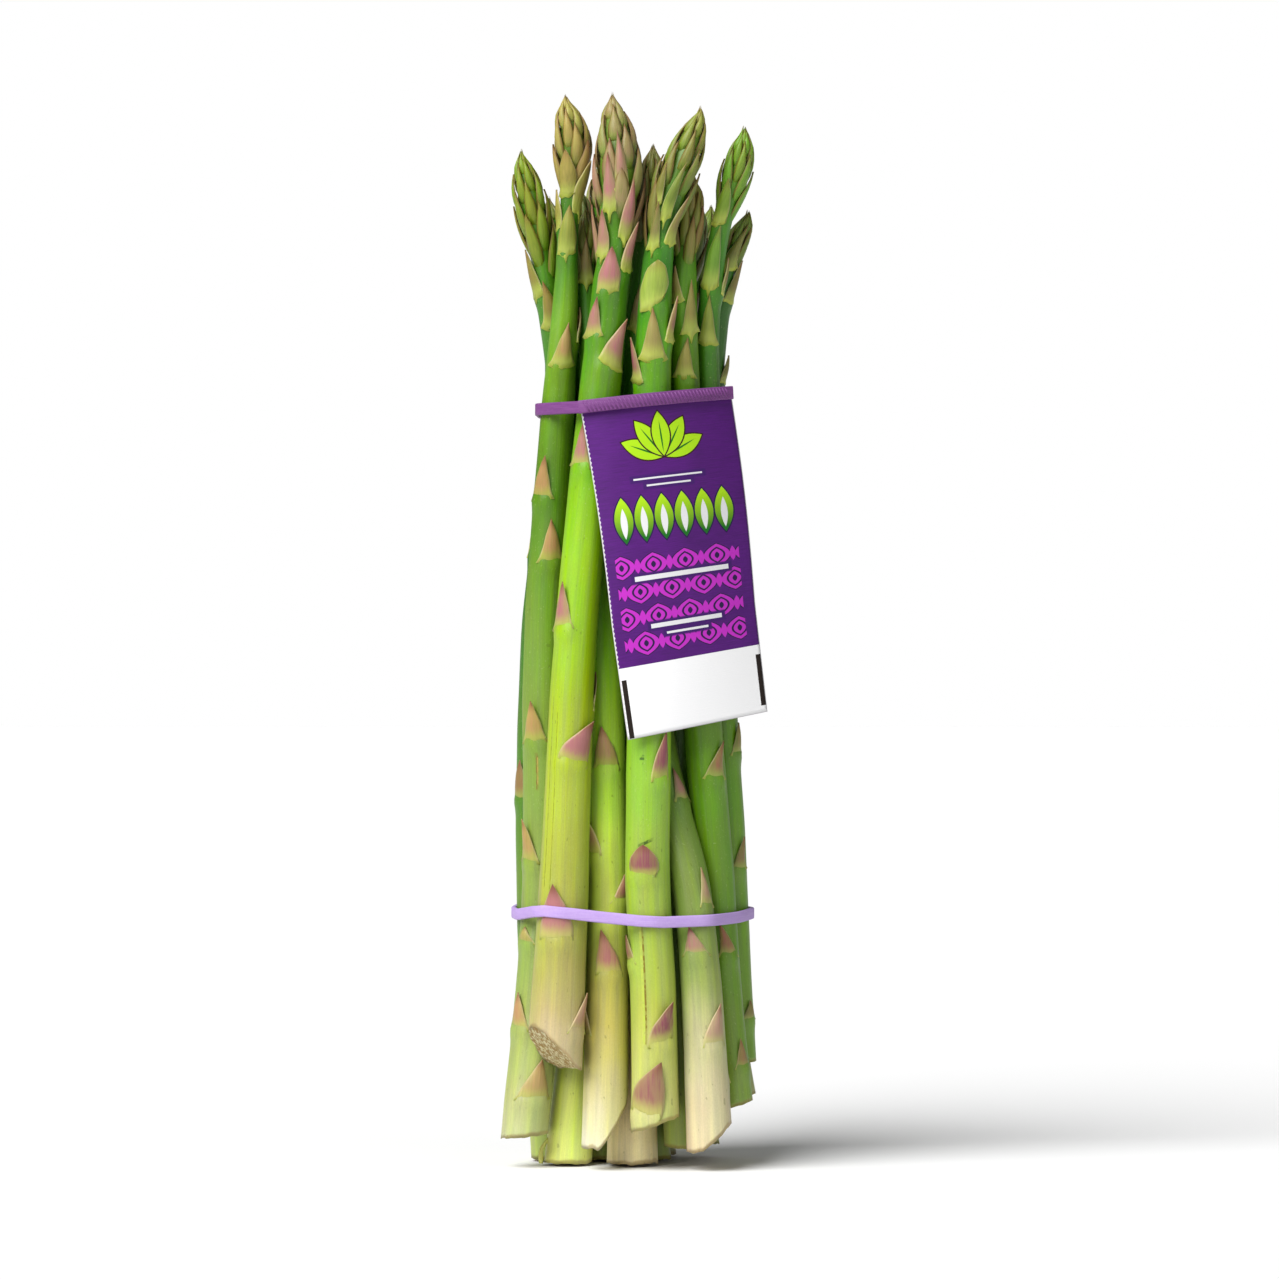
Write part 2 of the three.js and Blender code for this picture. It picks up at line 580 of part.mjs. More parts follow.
// Points round every stem at one height, a touch outside it.
function stemOutlines(spears, height) {
  const points = [];
  for (const spear of spears) {
    const [x, y] = spear.middle(height);
    const radius = spearRadius(spear, height) + BAND_GAP;
    for (let turn = 0; turn < 360; turn += OUTLINE_TURN) {
      points.push([x + radius * Math.cos(radians(turn)), y + radius * Math.sin(radians(turn))]);
    }
  }
  return points;
}

// The outline of a band drawn tight round all the points: straight from stem to stem.
function tightLoop(points) {
  const sorted = [...points].sort((p, q) => p[0] - q[0] || p[1] - q[1]);
  const turnsLeft = (o, p, q) => (p[0] - o[0]) * (q[1] - o[1]) - (p[1] - o[1]) * (q[0] - o[0]) > 1e-6;
  const chain = (list) => {
    const hull = [];
    for (const point of list) {
      while (hull.length > 1 && !turnsLeft(hull[hull.length - 2], hull[hull.length - 1], point)) {
        hull.pop();
      }
      hull.push(point);
    }
    return hull.slice(0, -1);
  };
  return [...chain(sorted), ...chain([...sorted].reverse())];
}

// A closed band: the loop with its outward direction at every corner, swept with a flat section.
function makeBand(loop, band, thickAt) {
  const count = loop.length;
  const points = [];
  loop.forEach((point, k) => {
    const before = loop[(k + count - 1) % count];
    const after = loop[(k + 1) % count];
    const along = new THREE.Vector2(after[0] - before[0], after[1] - before[1]).normalize();
    const thick = thickAt(point);
    const middle = bandHeight(band, point[0]);
    for (const [away, up] of [[0, -1], [thick, -1], [thick, 1], [0, 1]]) {
      const height = middle + (up * band.width) / 2;
      points.push(new THREE.Vector3(point[0] + along.y * away, point[1] - along.x * away, height));
    }
  });
  const faces = [];
  for (let k = 0; k < count; k += 1) {
    const here = k * 4;
    const next = ((k + 1) % count) * 4;
    for (let side = 0; side < 4; side += 1) {
      const other = (side + 1) % 4;
      faces.push([here + side, next + side, next + other], [here + side, next + other, here + other]);
    }
  }
  return toGeometry({ points, faces });
}

// The upper band runs round the stems and over the tag's top edge, where it is moulded into a
// thicker strip.
function makeUpperBand(spears) {
  const tagEdge = [];
  for (let k = 0; k <= STRIP_STEPS; k += 1) {
    const across = -STRIP_MARGIN + (k * (1 + 2 * STRIP_MARGIN)) / STRIP_STEPS;
    const here = tagPoint(across, 0);
    const beside = tagPoint(across + 0.01, 0);
    const along = new THREE.Vector2(beside.x - here.x, beside.y - here.y).normalize();
    const away = TAG.thick / 2 + BAND_GAP;
    tagEdge.push([here.x + along.y * away, here.y - along.x * away]);
  }
  const loop = tightLoop([...stemOutlines(spears, UPPER_BAND.height), ...tagEdge]);
  const thickAt = (point) => (tagEdge.includes(point) ? UPPER_BAND.stripThick : UPPER_BAND.thick);
  return makeBand(loop, UPPER_BAND, thickAt);
}

function addPiece(group, name, geometry, colour, roughness) {
  const material = new THREE.MeshStandardMaterial({ color: colour, roughness, metalness: 0 });
  const mesh = new THREE.Mesh(geometry, material);
  mesh.name = name;
  mesh.position.set(-BOX_MIDDLE[0], -BOX_MIDDLE[1], 0);
  group.add(mesh);
}

const bundle = new THREE.Group();
const spears = Object.values(SPEARS);
settleSpears(spears);
Object.keys(SPEARS).forEach((name, k) => {
  addPiece(bundle, name, makeSpear(SPEARS[name], spears, k), TINTS[SPEARS[name].tint], 0.45);
});

const lowerBand = makeBand(
  tightLoop(stemOutlines(spears, LOWER_BAND.height)),
  LOWER_BAND,
  () => LOWER_BAND.thick,
);
addPiece(bundle, "upper_band", makeUpperBand(spears), ELASTIC_COLOUR, 0.4);
addPiece(bundle, "label", makeTag(8, 7), TAG_COLOUR, 0.5);
addPiece(bundle, "lower_band", lowerBand, RUBBER_COLOUR, 0.5);

export default bundle;
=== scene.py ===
import math

import bpy
import numpy as np
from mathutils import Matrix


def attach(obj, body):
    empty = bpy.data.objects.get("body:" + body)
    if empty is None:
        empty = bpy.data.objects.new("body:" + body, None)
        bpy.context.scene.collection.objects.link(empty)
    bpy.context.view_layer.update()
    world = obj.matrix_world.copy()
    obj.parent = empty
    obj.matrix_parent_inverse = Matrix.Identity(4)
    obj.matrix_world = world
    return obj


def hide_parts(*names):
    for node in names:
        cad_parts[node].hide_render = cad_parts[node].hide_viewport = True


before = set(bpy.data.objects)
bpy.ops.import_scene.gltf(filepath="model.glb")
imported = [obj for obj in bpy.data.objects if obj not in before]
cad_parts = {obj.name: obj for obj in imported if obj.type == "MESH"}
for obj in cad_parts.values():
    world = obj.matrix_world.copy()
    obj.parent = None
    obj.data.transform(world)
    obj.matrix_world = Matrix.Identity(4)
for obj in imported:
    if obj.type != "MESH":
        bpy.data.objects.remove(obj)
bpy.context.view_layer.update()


# Spears
# Nineteen shoots of green asparagus, cut off in the field and trimmed to one length. A shoot is a round
# fleshy stem, pale and stringy at its cut end and waxy green above, with a triangular scale leaf pressed on
# it at every node. At its top the scales close over each other in a tight pointed head.

MM = 0.001
LINE_STEP = 1.0  # mm between the measured places up a stem
LINE_TOP = 226  # mm, just over the tallest tip
TALLEST = 220  # mm, height of the bundle
CUT_SPAN = 11  # mm of stem over which a slanting cut rises
SLOPE_STEPS = 12  # steps over which a stem's slope at its foot is taken
STEM_ROW = 1.1  # mm between the rows of a stem's mesh
STEM_SIDES = 44
LINE_SPREADS = (5, 5, 2.5)  # steps over which a stem's x, y and radius are averaged
CUT_RINGS = (0.97, 0.9, 0.72, 0.5, 0.28, 0.1)  # rings of the cut face, as shares of the radius
STRAND_SIDES = 8
GOLDEN_TURN = 137.5
HEAD_STEP = 1.25  # mm between the scales up a head
CLOSING = 3.4  # mm below the tip from which a head draws together to its point
LEAVES_THICKEN = (135, 165)  # mm, heights between which the scale leaves turn from thin to fleshy
SPURS_FROM = 160  # mm, height above which a leaf's foot draws out into a spur
SKIN_GAP = 0.04  # mm from the stem to the outside of a scale that lies flat
ROOTED = 1.2  # mm by which the foot of a scale is sunk into the stem
LEAF_COLUMNS = ("base", "turn", "length", "spread", "lean", "curl", "blush", "roundness", "slant")

MAUVE = (176, 116, 124)
BROWN = (168, 116, 88)

# What a spear has unless its own lines below say otherwise.
# stem, scales: colours up the spear, as height in mm and red, green and blue as the eye reads them
PLAIN_SPEAR = {
    "cut": (0, 0, 0, 0.3), "blush": MAUVE, "head_blush": 0.4,
    "stem": [(0, 190, 206, 112), (30, 138, 170, 72), (75, 98, 146, 50), (150, 66, 122, 34),
             (215, 74, 126, 38)],
    "scales": [(0, 205, 195, 140), (60, 160, 175, 95), (160, 120, 150, 72), (215, 120, 156, 62)],
    "leaves": [], "marks": [], "strands": [],
}

# cut: lowest height, rise in mm per mm, direction in which it rises, raggedness of its rim
# head: length, and how many mm wide half a scale is at its foot
# leaves: height of the base, direction it faces (0 the viewer, 90 the right), length, half its spread, lean
# of its tip, how far its tip stands off, blush, roundness, and where given the rise of its base to its right
# blush, head_blush: the colour of the flush on the scales, and its share in the head
# marks: lowest and highest height, direction, half its width in degrees, its rise in mm a degree, colour
# strands: direction, then down the strand its heights, how far out from the skin, half its thickness
SPEARS = {
    "spear_left": {
        "cut": (5.5, 0.1, 90, 0.3), "head": (24, 1.9), "blush": (204, 146, 112), "head_blush": 0.45,
        "marks": [(77.5, 84.5, -21, 5, 0, (146, 122, 58)), (78.6, 83.6, -19, 2.4, 0, (196, 176, 88))],
        "stem": [(5, 206, 210, 156), (12, 194, 202, 130), (24, 176, 194, 108), (45, 160, 182, 92),
            (62, 154, 180, 86), (90, 142, 172, 72), (112, 132, 166, 62), (140, 100, 144, 44),
            # The stop at 176 mm is lightened to make up for the shade that falls on this part of the stem:
            # painted light.
            (176, 132, 178, 60), (192, 74, 134, 38), (220, 120, 140, 60)],
        "scales": [(0, 190, 195, 120), (60, 196, 190, 104), (100, 204, 188, 92), (150, 180, 176, 84),
            (180, 170, 178, 90), (192, 160, 176, 72), (206, 190, 192, 96), (220, 200, 196, 100)],
        "leaves": [(13.3, 12, 8.8, 50, 12, 0.3, 0.6, 0.05), (27.5, -50, 8.2, 40, 0, 0.5, 0.8, 0),
            (45.5, -50, 3.6, 40, 0, 0.1, 0.3, 0), (61.7, -47, 9.5, 38, -6, 1.0, 0.6, 0),
            (86.5, -28, 9, 42, 0, 0.9, 0.7, 0), (75.5, 60, 1.6, 22, 0, 0.3, 0, 0),
            (123.4, 10, 9.6, 44, -8, 0.4, 0.8, 0), (136.3, -38, 9.6, 46, 15, 0.8, 0.7, 0),
            (163.8, 5, 9.4, 50, 12, 0.6, 0.7, 0), (186.8, -4, 10.6, 62, 4, 0.4, 0.25, 0.7),
            (192, -82, 8.6, 60, 0, 0.6, 0.3, 0.4), (195.2, 58, 11.2, 62, 0, 0.9, 0.4, 0.5),
            (198.8, -22, 9.8, 60, 0, 0.5, 0.3, 0.5)],
    },
    "spear_left_behind": {
        "cut": (0, 0, 0, 0.4), "head": (28, 1.8), "blush": BROWN, "head_blush": 0.25,
        "strands": [(-74, [(5.6, -0.3, 0.3), (4.6, 0.3, 0.4), (3.4, 1.0, 0.45), (2.0, 1.2, 0.5),
            (0.8, 1.0, 0.55), (0.1, 0.9, 0.4)])],
        # The foot is pale, and its stops at 0 and 12 mm are lightened further to make up for the shade of the
        # stems around it and the contact shadow at the floor: partly painted light.
        "stem": [(0, 244, 250, 142), (12, 226, 240, 122), (35, 164, 188, 86), (110, 84, 134, 46),
            (165, 86, 146, 40), (210, 100, 146, 50)],
        "scales": [(0, 190, 190, 120), (165, 162, 182, 70), (205, 152, 182, 60)],
        "leaves": [(171.7, 10, 10.4, 60, -20, 0.5, 0.6, 0), (178.5, -60, 10, 55, 0, 0.5, 0.6, 0)],
    },
    "spear_thick": {
        "cut": (19.9, 0.75, -60, 0.9), "head": (38, 2.7), "blush": (192, 128, 128), "head_blush": 0.75,
        "marks": [(56, 93, -33, 1.6, 0, (150, 160, 50)), (58, 96, -50, 1.8, 0, (146, 156, 52))],
        "stem": [(20, 226, 208, 166), (30, 206, 192, 128), (42, 188, 182, 100), (58, 186, 196, 84),
            (76, 190, 204, 76), (100, 176, 206, 58), (128, 162, 208, 58), (150, 126, 184, 50),
            (172, 96, 156, 40), (190, 90, 146, 40), (220, 140, 160, 76)],
        "scales": [(20, 226, 205, 160), (60, 205, 190, 120), (110, 200, 200, 112), (175, 186, 186, 100),
            (195, 170, 178, 96), (212, 158, 176, 84), (220, 176, 192, 96)],
        "leaves": [(27.5, 52, 8.6, 30, 20, 0.5, 0.7, 0), (46.2, -12, 12.2, 52, -10, 0.5, 1.2, 0.3),
            (82.3, 12, 9.2, 50, 44, 0.9, 1.3, 0.3, -1.2), (109.5, -42, 10.4, 38, 4, 0.9, 1, 0),
            (142.7, -34, 9.6, 34, 4, 0.7, 1, 0), (163.4, 25, 10.2, 42, 30, 0.8, 1, 0.1, -1.5),
            (169.5, -42, 8.6, 38, 14, 0.8, 0.9, 0), (178.6, -6, 9.8, 45, 0, 0.5, 1, 0.5),
            (183, 50, 10.4, 32, 6, 0.9, 0.9, 0.2), (186, -38, 10, 30, 0, 0.5, 0.9, 0.3),
            (189.5, 30, 12.6, 29, 5, 0.6, 1, 0.2), (195, -20, 12.6, 24, -3, 0.7, 1, 0.25),
            (199, 8, 13.4, 22, -6, 0.6, 0.85, 0.25)],
    },
    "spear_middle": {
        "cut": (3.6, 1.2, 110, 1.0), "head": (18, 1.5), "blush": (196, 130, 122), "head_blush": 0.3,
        "stem": [(3, 246, 242, 210), (12, 230, 222, 164), (24, 218, 210, 114), (38, 198, 192, 98),
            # The stop at 68 mm is lightened to make up for the shade that the stems beside it cast there:
            # painted light.
            (52, 196, 212, 92), (68, 212, 246, 92), (92, 172, 220, 68), (150, 90, 150, 44),
            (197, 80, 136, 40)],
        "scales": [(0, 232, 226, 180), (45, 216, 196, 120), (80, 190, 190, 96), (150, 140, 160, 72),
            (197, 140, 160, 66)],
        "leaves": [(27, -70, 7.4, 30, 0, 0.6, 0.7, 0), (38.9, 4, 10, 46, -22, 0.4, 1.0, 0.15),
            (54, 38, 6, 34, 10, 0.2, 0.9, 0), (63.5, -50, 9.6, 42, -12, 1.4, 0.8, 0.15),
            (81.2, 4, 9.2, 46, -12, 0.5, 0.75, 0.15), (181.2, 0, 9.8, 48, 6, 0.4, 0.5, 0.1)],
    },
    "spear_front": {
        "cut": (7.2, 0.33, 90, 0.5), "head": (31, 2.0), "blush": (160, 96, 104),
        # The first mark is a painted highlight: a pale line along the lit side of the groove that the second
        # mark draws.
        "marks": [(26, 50, -25, 6, 0, (206, 222, 92)), (26, 50, -20, 3, 0, (140, 118, 44)),
            (66.6, 67.0, -4, 22, 0.036, (78, 104, 32)), (83.7, 84.0, -18, 8, 0, (78, 122, 32)),
            (84.4, 84.6, -15, 4, 0, (78, 122, 32))],
        "stem": [(7, 222, 222, 150), (16, 214, 220, 128), (30, 196, 208, 98), (55, 174, 204, 84),
            (82, 156, 204, 68), (110, 124, 186, 52), (160, 106, 174, 40), (188, 76, 142, 36),
            (217, 130, 160, 66)],
        "scales": [(5, 214, 206, 130), (60, 190, 196, 104), (160, 188, 196, 104), (178, 206, 212, 108),
            (186, 176, 186, 84), (200, 132, 154, 60), (217, 168, 180, 78)],
        "leaves": [(10.6, -28, 11.6, 58, 42, 0.7, 0.85, 0.5, -1.2),
            (25.4, 16, 9, 44, 24, 1.1, 1, 0.25, 1.0), (41.5, -68, 6.4, 28, 0, 0.5, 0.9, 0),
            (59.5, -10, 6.9, 50, 0, 0.5, 1, 1.9), (78.9, 31, 10.6, 32, 10, 0.7, 1.2, 0.2),
            (160.2, -52, 9.6, 26, -6, 1.2, 1, 0), (164.6, 0, 11.4, 44, -6, 0.4, 0.5, 0),
            (168.5, 62, 9.8, 28, 6, 1.0, 0.8, 0), (175.8, -10, 9.8, 62, 10, 0.7, 0.1, 2.5, 1.6),
            (187.5, -24, 10, 27, 0, 0.8, 0.5, 0.1), (188.5, 36, 10, 27, 14, 0.8, 0.5, 0.1),
            (193.4, 0, 12, 24, 16, 0.6, 0.2, 0.3), (196.5, -40, 9, 24, 4, 0.5, 0.3, 0.3)],
    },
    "spear_right_front": {
        "cut": (2.9, 0.6, 90, 0.9), "head": (22, 1.6), "blush": (190, 132, 128),
        "stem": [(2, 232, 212, 172), (14, 224, 214, 170), (26, 204, 206, 146), (38, 164, 180, 100),
            (52, 140, 164, 82), (80, 122, 156, 68), (110, 98, 150, 56), (160, 72, 134, 44),
            (210, 84, 134, 48)],
        "scales": [(0, 232, 212, 172), (45, 190, 196, 130), (80, 150, 176, 96), (160, 150, 166, 80),
            (210, 140, 158, 70)],
        "leaves": [(24.5, 25, 9.4, 40, 22, 0.5, 0.75, 0.2), (43.2, -8, 6.4, 42, -12, 0.2, 0.95, 0),
            (53, 42, 8.6, 26, -6, 0.5, 0.6, 0), (74.5, 46, 7.4, 34, -16, 0.3, 0.9, 0),
            (171, 0, 11, 46, 0, 0.6, 0.5, 0.1), (163, 60, 9, 40, 0, 0.6, 0.5, 0)],
    },
    "spear_right": {
        "cut": (10.7, 0.3, 90, 0.2), "head": (20, 1.5), "blush": (170, 112, 90), "head_blush": 0.55,
        "stem": [(10, 150, 178, 90), (20, 132, 168, 72), (45, 116, 160, 54), (80, 116, 164, 44),
            (160, 104, 156, 44), (203, 98, 146, 46)],
        "scales": [(0, 170, 170, 100), (80, 150, 170, 90), (160, 184, 190, 104), (180, 150, 166, 80),
            (203, 140, 150, 70)],
        "leaves": [(19.5, 43, 6.6, 30, -6, 0.4, 0.7, 0), (42.5, 27, 7.4, 34, -25, 0.4, 0.9, 0),
            (79, 25, 8.4, 38, 35, 0.5, 0.85, 0), (161.4, -4, 8.6, 46, 15, 0.4, 0.35, 0),
            (170.5, 25, 11.4, 42, 0, 0.5, 0.5, 0), (177, -40, 7.8, 42, 0, 0.5, 0.5, 0)],
    },
    "spear_right_edge": {
        "cut": (19.9, 0.1, 90, 0.1), "head": (21, 1.6), "blush": (160, 108, 88), "head_blush": 0.12,
        "stem": [(19, 134, 176, 76), (50, 130, 174, 60), (110, 98, 148, 46), (165, 80, 142, 38),
            (190, 86, 148, 40), (213, 116, 166, 56)],
        "scales": [(0, 150, 165, 90), (80, 140, 165, 84), (165, 168, 190, 96), (190, 142, 184, 78),
            (213, 132, 180, 68)],
        "leaves": [(29, 50, 4.4, 40, 0, 0.3, 0.6, 0), (60, 32, 7.4, 34, 20, 0.4, 0.7, 0),
            (84, 60, 7, 40, 0, 0.4, 0.5, 0), (168.5, 0, 10.6, 50, -4, 0.3, 0.2, 0),
            (180, -12, 13.4, 56, 10, 0.5, 0.15, 0.2), (193, -20, 9.8, 50, 0, 0.5, 0.1, 0.4)],
    },
    "spear_right_behind": {
        "cut": (3.4, 0, 0, 0.2), "head": (16, 1.3), "blush": BROWN, "head_blush": 0.35,
        "leaves": [(177.5, 60, 9, 55, 0, 0.6, 0.5, 0), (184, 0, 10, 50, 30, 0.6, 0.4, 0),
            (161, 70, 6, 40, 0, 0.5, 0.4, 0)],
    },
    "spear_second_middle": {
        "cut": (0, 0, 0, 0.5), "head": (18, 1.6),
        # The foot is pale cream, and its stops at 0 and 12 mm are lightened as far as they go to make up for
        # the shade of the stems around it: partly painted light.
        "stem": [(0, 255, 240, 188), (12, 255, 234, 176), (28, 220, 208, 124), (60, 124, 150, 62),
            (150, 66, 120, 36), (192, 74, 126, 40)],
    },
    "spear_second_right": {"cut": (3.4, 0.1, 180, 0.2), "head": (20, 1.6)},
    "spear_left_third": {"head": (22, 1.7), "blush": BROWN},
    "spear_inner_left": {"head": (24, 1.8)},
    "spear_inner_middle": {
        "head": (24, 1.8), "blush": BROWN, "head_blush": 0.2,
        "scales": [(0, 205, 195, 140), (160, 150, 176, 80), (207, 150, 182, 76)],
    },
    "spear_inner_right": {"cut": (2.4, 0, 0, 0.3), "head": (22, 1.7), "head_blush": 0.3},
    "spear_back_left": {
        "head": (24, 1.8), "head_blush": 0.5,
        "stem": [(0, 214, 206, 160), (14, 170, 186, 110), (45, 124, 170, 74), (110, 96, 160, 54),
            (201, 84, 150, 46)],
        "scales": [(0, 214, 200, 140), (100, 180, 186, 104), (201, 140, 166, 72)],
    },
    "spear_back_middle_left": {
        "head": (28, 2.1), "blush": (196, 138, 138), "head_blush": 0.6,
        "stem": [(0, 222, 206, 164), (20, 188, 188, 118), (55, 150, 182, 84), (110, 118, 178, 60),
            (209, 88, 154, 48)],
        "scales": [(0, 220, 200, 150), (100, 190, 190, 108), (209, 150, 172, 78)],
    },
    "spear_back_middle_right": {
        "head": (26, 2.0), "head_blush": 0.3,
        "stem": [(0, 206, 206, 150), (16, 168, 188, 104), (60, 118, 166, 68), (120, 92, 154, 54),
            (205, 80, 146, 46)],
        "scales": [(0, 210, 200, 140), (100, 170, 184, 96), (205, 138, 168, 70)],
    },
    "spear_back_right": {
        "cut": (11.5, 0.2, 90, 0.3), "head": (22, 1.7), "blush": BROWN, "head_blush": 0.3,
        "stem": [(10, 196, 198, 140), (24, 150, 176, 96), (60, 108, 158, 66), (199, 78, 142, 46)],
        "scales": [(0, 205, 196, 136), (199, 134, 164, 70)],
    },
}

LIT = 0.67  # a surface that sends back all light is seen at 1 / LIT in the room below
GLOSS = 0.016  # what its gloss adds to that


def linear(red, green, blue):
    """The surface colour, in the light values that shaders use, of what the eye reads as 0 to 255."""
    def one(value):
        value /= 255
        seen = value / 12.92 if value < 0.04045 else ((value + 0.055) / 1.055) ** 2.4
        return max(LIT * seen - GLOSS, 0.003)
    return one(red), one(green), one(blue), 1


class Field:
    """A number that nodes work out: arithmetic on it adds Math nodes to its tree."""

    def __init__(self, tree, socket):
        self.tree = tree
        self.socket = socket

    def math(self, operation, *others):
        made = self.tree.nodes.new("ShaderNodeMath")
        made.operation = operation
        for place, value in enumerate((self, *others)):
            plug(self.tree, value, made.inputs[place])
        return Field(self.tree, made.outputs[0])

    def __add__(self, other):
        return self.math("ADD", other)

    def __mul__(self, other):
        return self.math("MULTIPLY", other)

    def __sub__(self, other):
        return self.math("SUBTRACT", other)

    def __rsub__(self, other):
        return self.math("MULTIPLY", -1) + other

    def __truediv__(self, other):
        return self.math("DIVIDE", other)

    def __pow__(self, other):
        return self.math("POWER", other)

    __radd__ = __add__
    __rmul__ = __mul__

    def clamped(self):
        held = self.math("ADD", 0)
        held.socket.node.use_clamp = True
        return held

    def step(self, start, end):
        """0 up to start, 1 from end on, and smooth between them."""
        made = self.tree.nodes.new("ShaderNodeMapRange")
        made.interpolation_type = "SMOOTHSTEP"
        for place, value in enumerate((self, start, end, 0, 1)):
            plug(self.tree, value, made.inputs[place])
        return Field(self.tree, made.outputs[0])


def plug(tree, value, socket):
    """Links a field or a socket to a node's input, or sets the input to a plain value."""
    if isinstance(value, Field):
        value = value.socket
    if isinstance(value, bpy.types.NodeSocket):
        tree.links.new(value, socket)
    else:
        socket.default_value = value


def add_node(tree, kind, settings=None, **inputs):
    """Adds a node with its settings, and plugs its inputs by name (an underscore stands for a space)."""
    made = tree.nodes.new(kind)
    for name, value in (settings or {}).items():
        setattr(made, name, value)
    for name, value in inputs.items():
        plug(tree, value, made.inputs[name.replace("_", " ")])
    return made


def attribute(tree, name, part="Fac"):
    """A number, a vector or a colour that is stored on the mesh."""
    return add_node(tree, "ShaderNodeAttribute", {"attribute_name": name}).outputs[part]


def parts_of(tree, vector):
    """The x, y and z of a vector."""
    split = add_node(tree, "ShaderNodeSeparateXYZ", Vector=vector)
    return [Field(tree, socket) for socket in split.outputs]


def new_material(name):
    """A material, its tree and the shader of its surface."""
    material = bpy.data.materials.new(name)
    material.use_nodes = True
    return material, material.node_tree, material.node_tree.nodes["Principled BSDF"]


def coat(tree, skin, colour, roughness, gloss, relief, strength, depth):
    """Gives a surface its colour, roughness, gloss and fine relief, whose depth is in mm."""
    bump = add_node(tree, "ShaderNodeBump", Strength=strength, Distance=depth * MM, Height=relief)
    for name, value in (("Base Color", colour), ("Roughness", roughness), ("Specular IOR Level", gloss),
                        ("Normal", bump.outputs[0])):
        plug(tree, value, skin.inputs[name])


def mixed(tree, share, one, other):
    """One colour passing into another by share."""
    made = add_node(tree, "ShaderNodeMix", {"data_type": "RGBA"})
    plug(tree, share, made.inputs[0])
    plug(tree, one, made.inputs[6])
    plug(tree, other, made.inputs[7])
    return made.outputs[2]


def shifted(tree, colour, hue, saturation, value):
    """A colour with its hue, saturation and brightness moved a little, 0.5, 1 and 1 being no change."""
    made = add_node(tree, "ShaderNodeHueSaturation", Hue=hue, Saturation=saturation, Value=value,
                    Color=colour)
    return made.outputs[0]


def up_ramp(tree, height, stops):
    """A colour that changes with height in mm along the stops."""
    made = add_node(tree, "ShaderNodeValToRGB", Fac=height / LINE_TOP)
    ramp = made.color_ramp
    while len(ramp.elements) < len(stops):
        ramp.elements.new(0.5)
    for element, (place, red, green, blue) in zip(ramp.elements, stops):
        element.position = place / LINE_TOP
        element.color = linear(red, green, blue)
    return made.outputs[0]


def grain(tree, place, stretch, scale, detail=2.0, roughness=0.5):
    """Noise from 0 to 1 over a place in metres, drawn out by stretch, with scale in features a metre."""
    drawn = add_node(tree, "ShaderNodeMapping", Vector=place, Scale=stretch)
    made = add_node(tree, "ShaderNodeTexNoise", Vector=drawn.outputs[0], Scale=scale, Detail=detail,
                    Roughness=roughness)
    return Field(tree, made.outputs["Fac"])


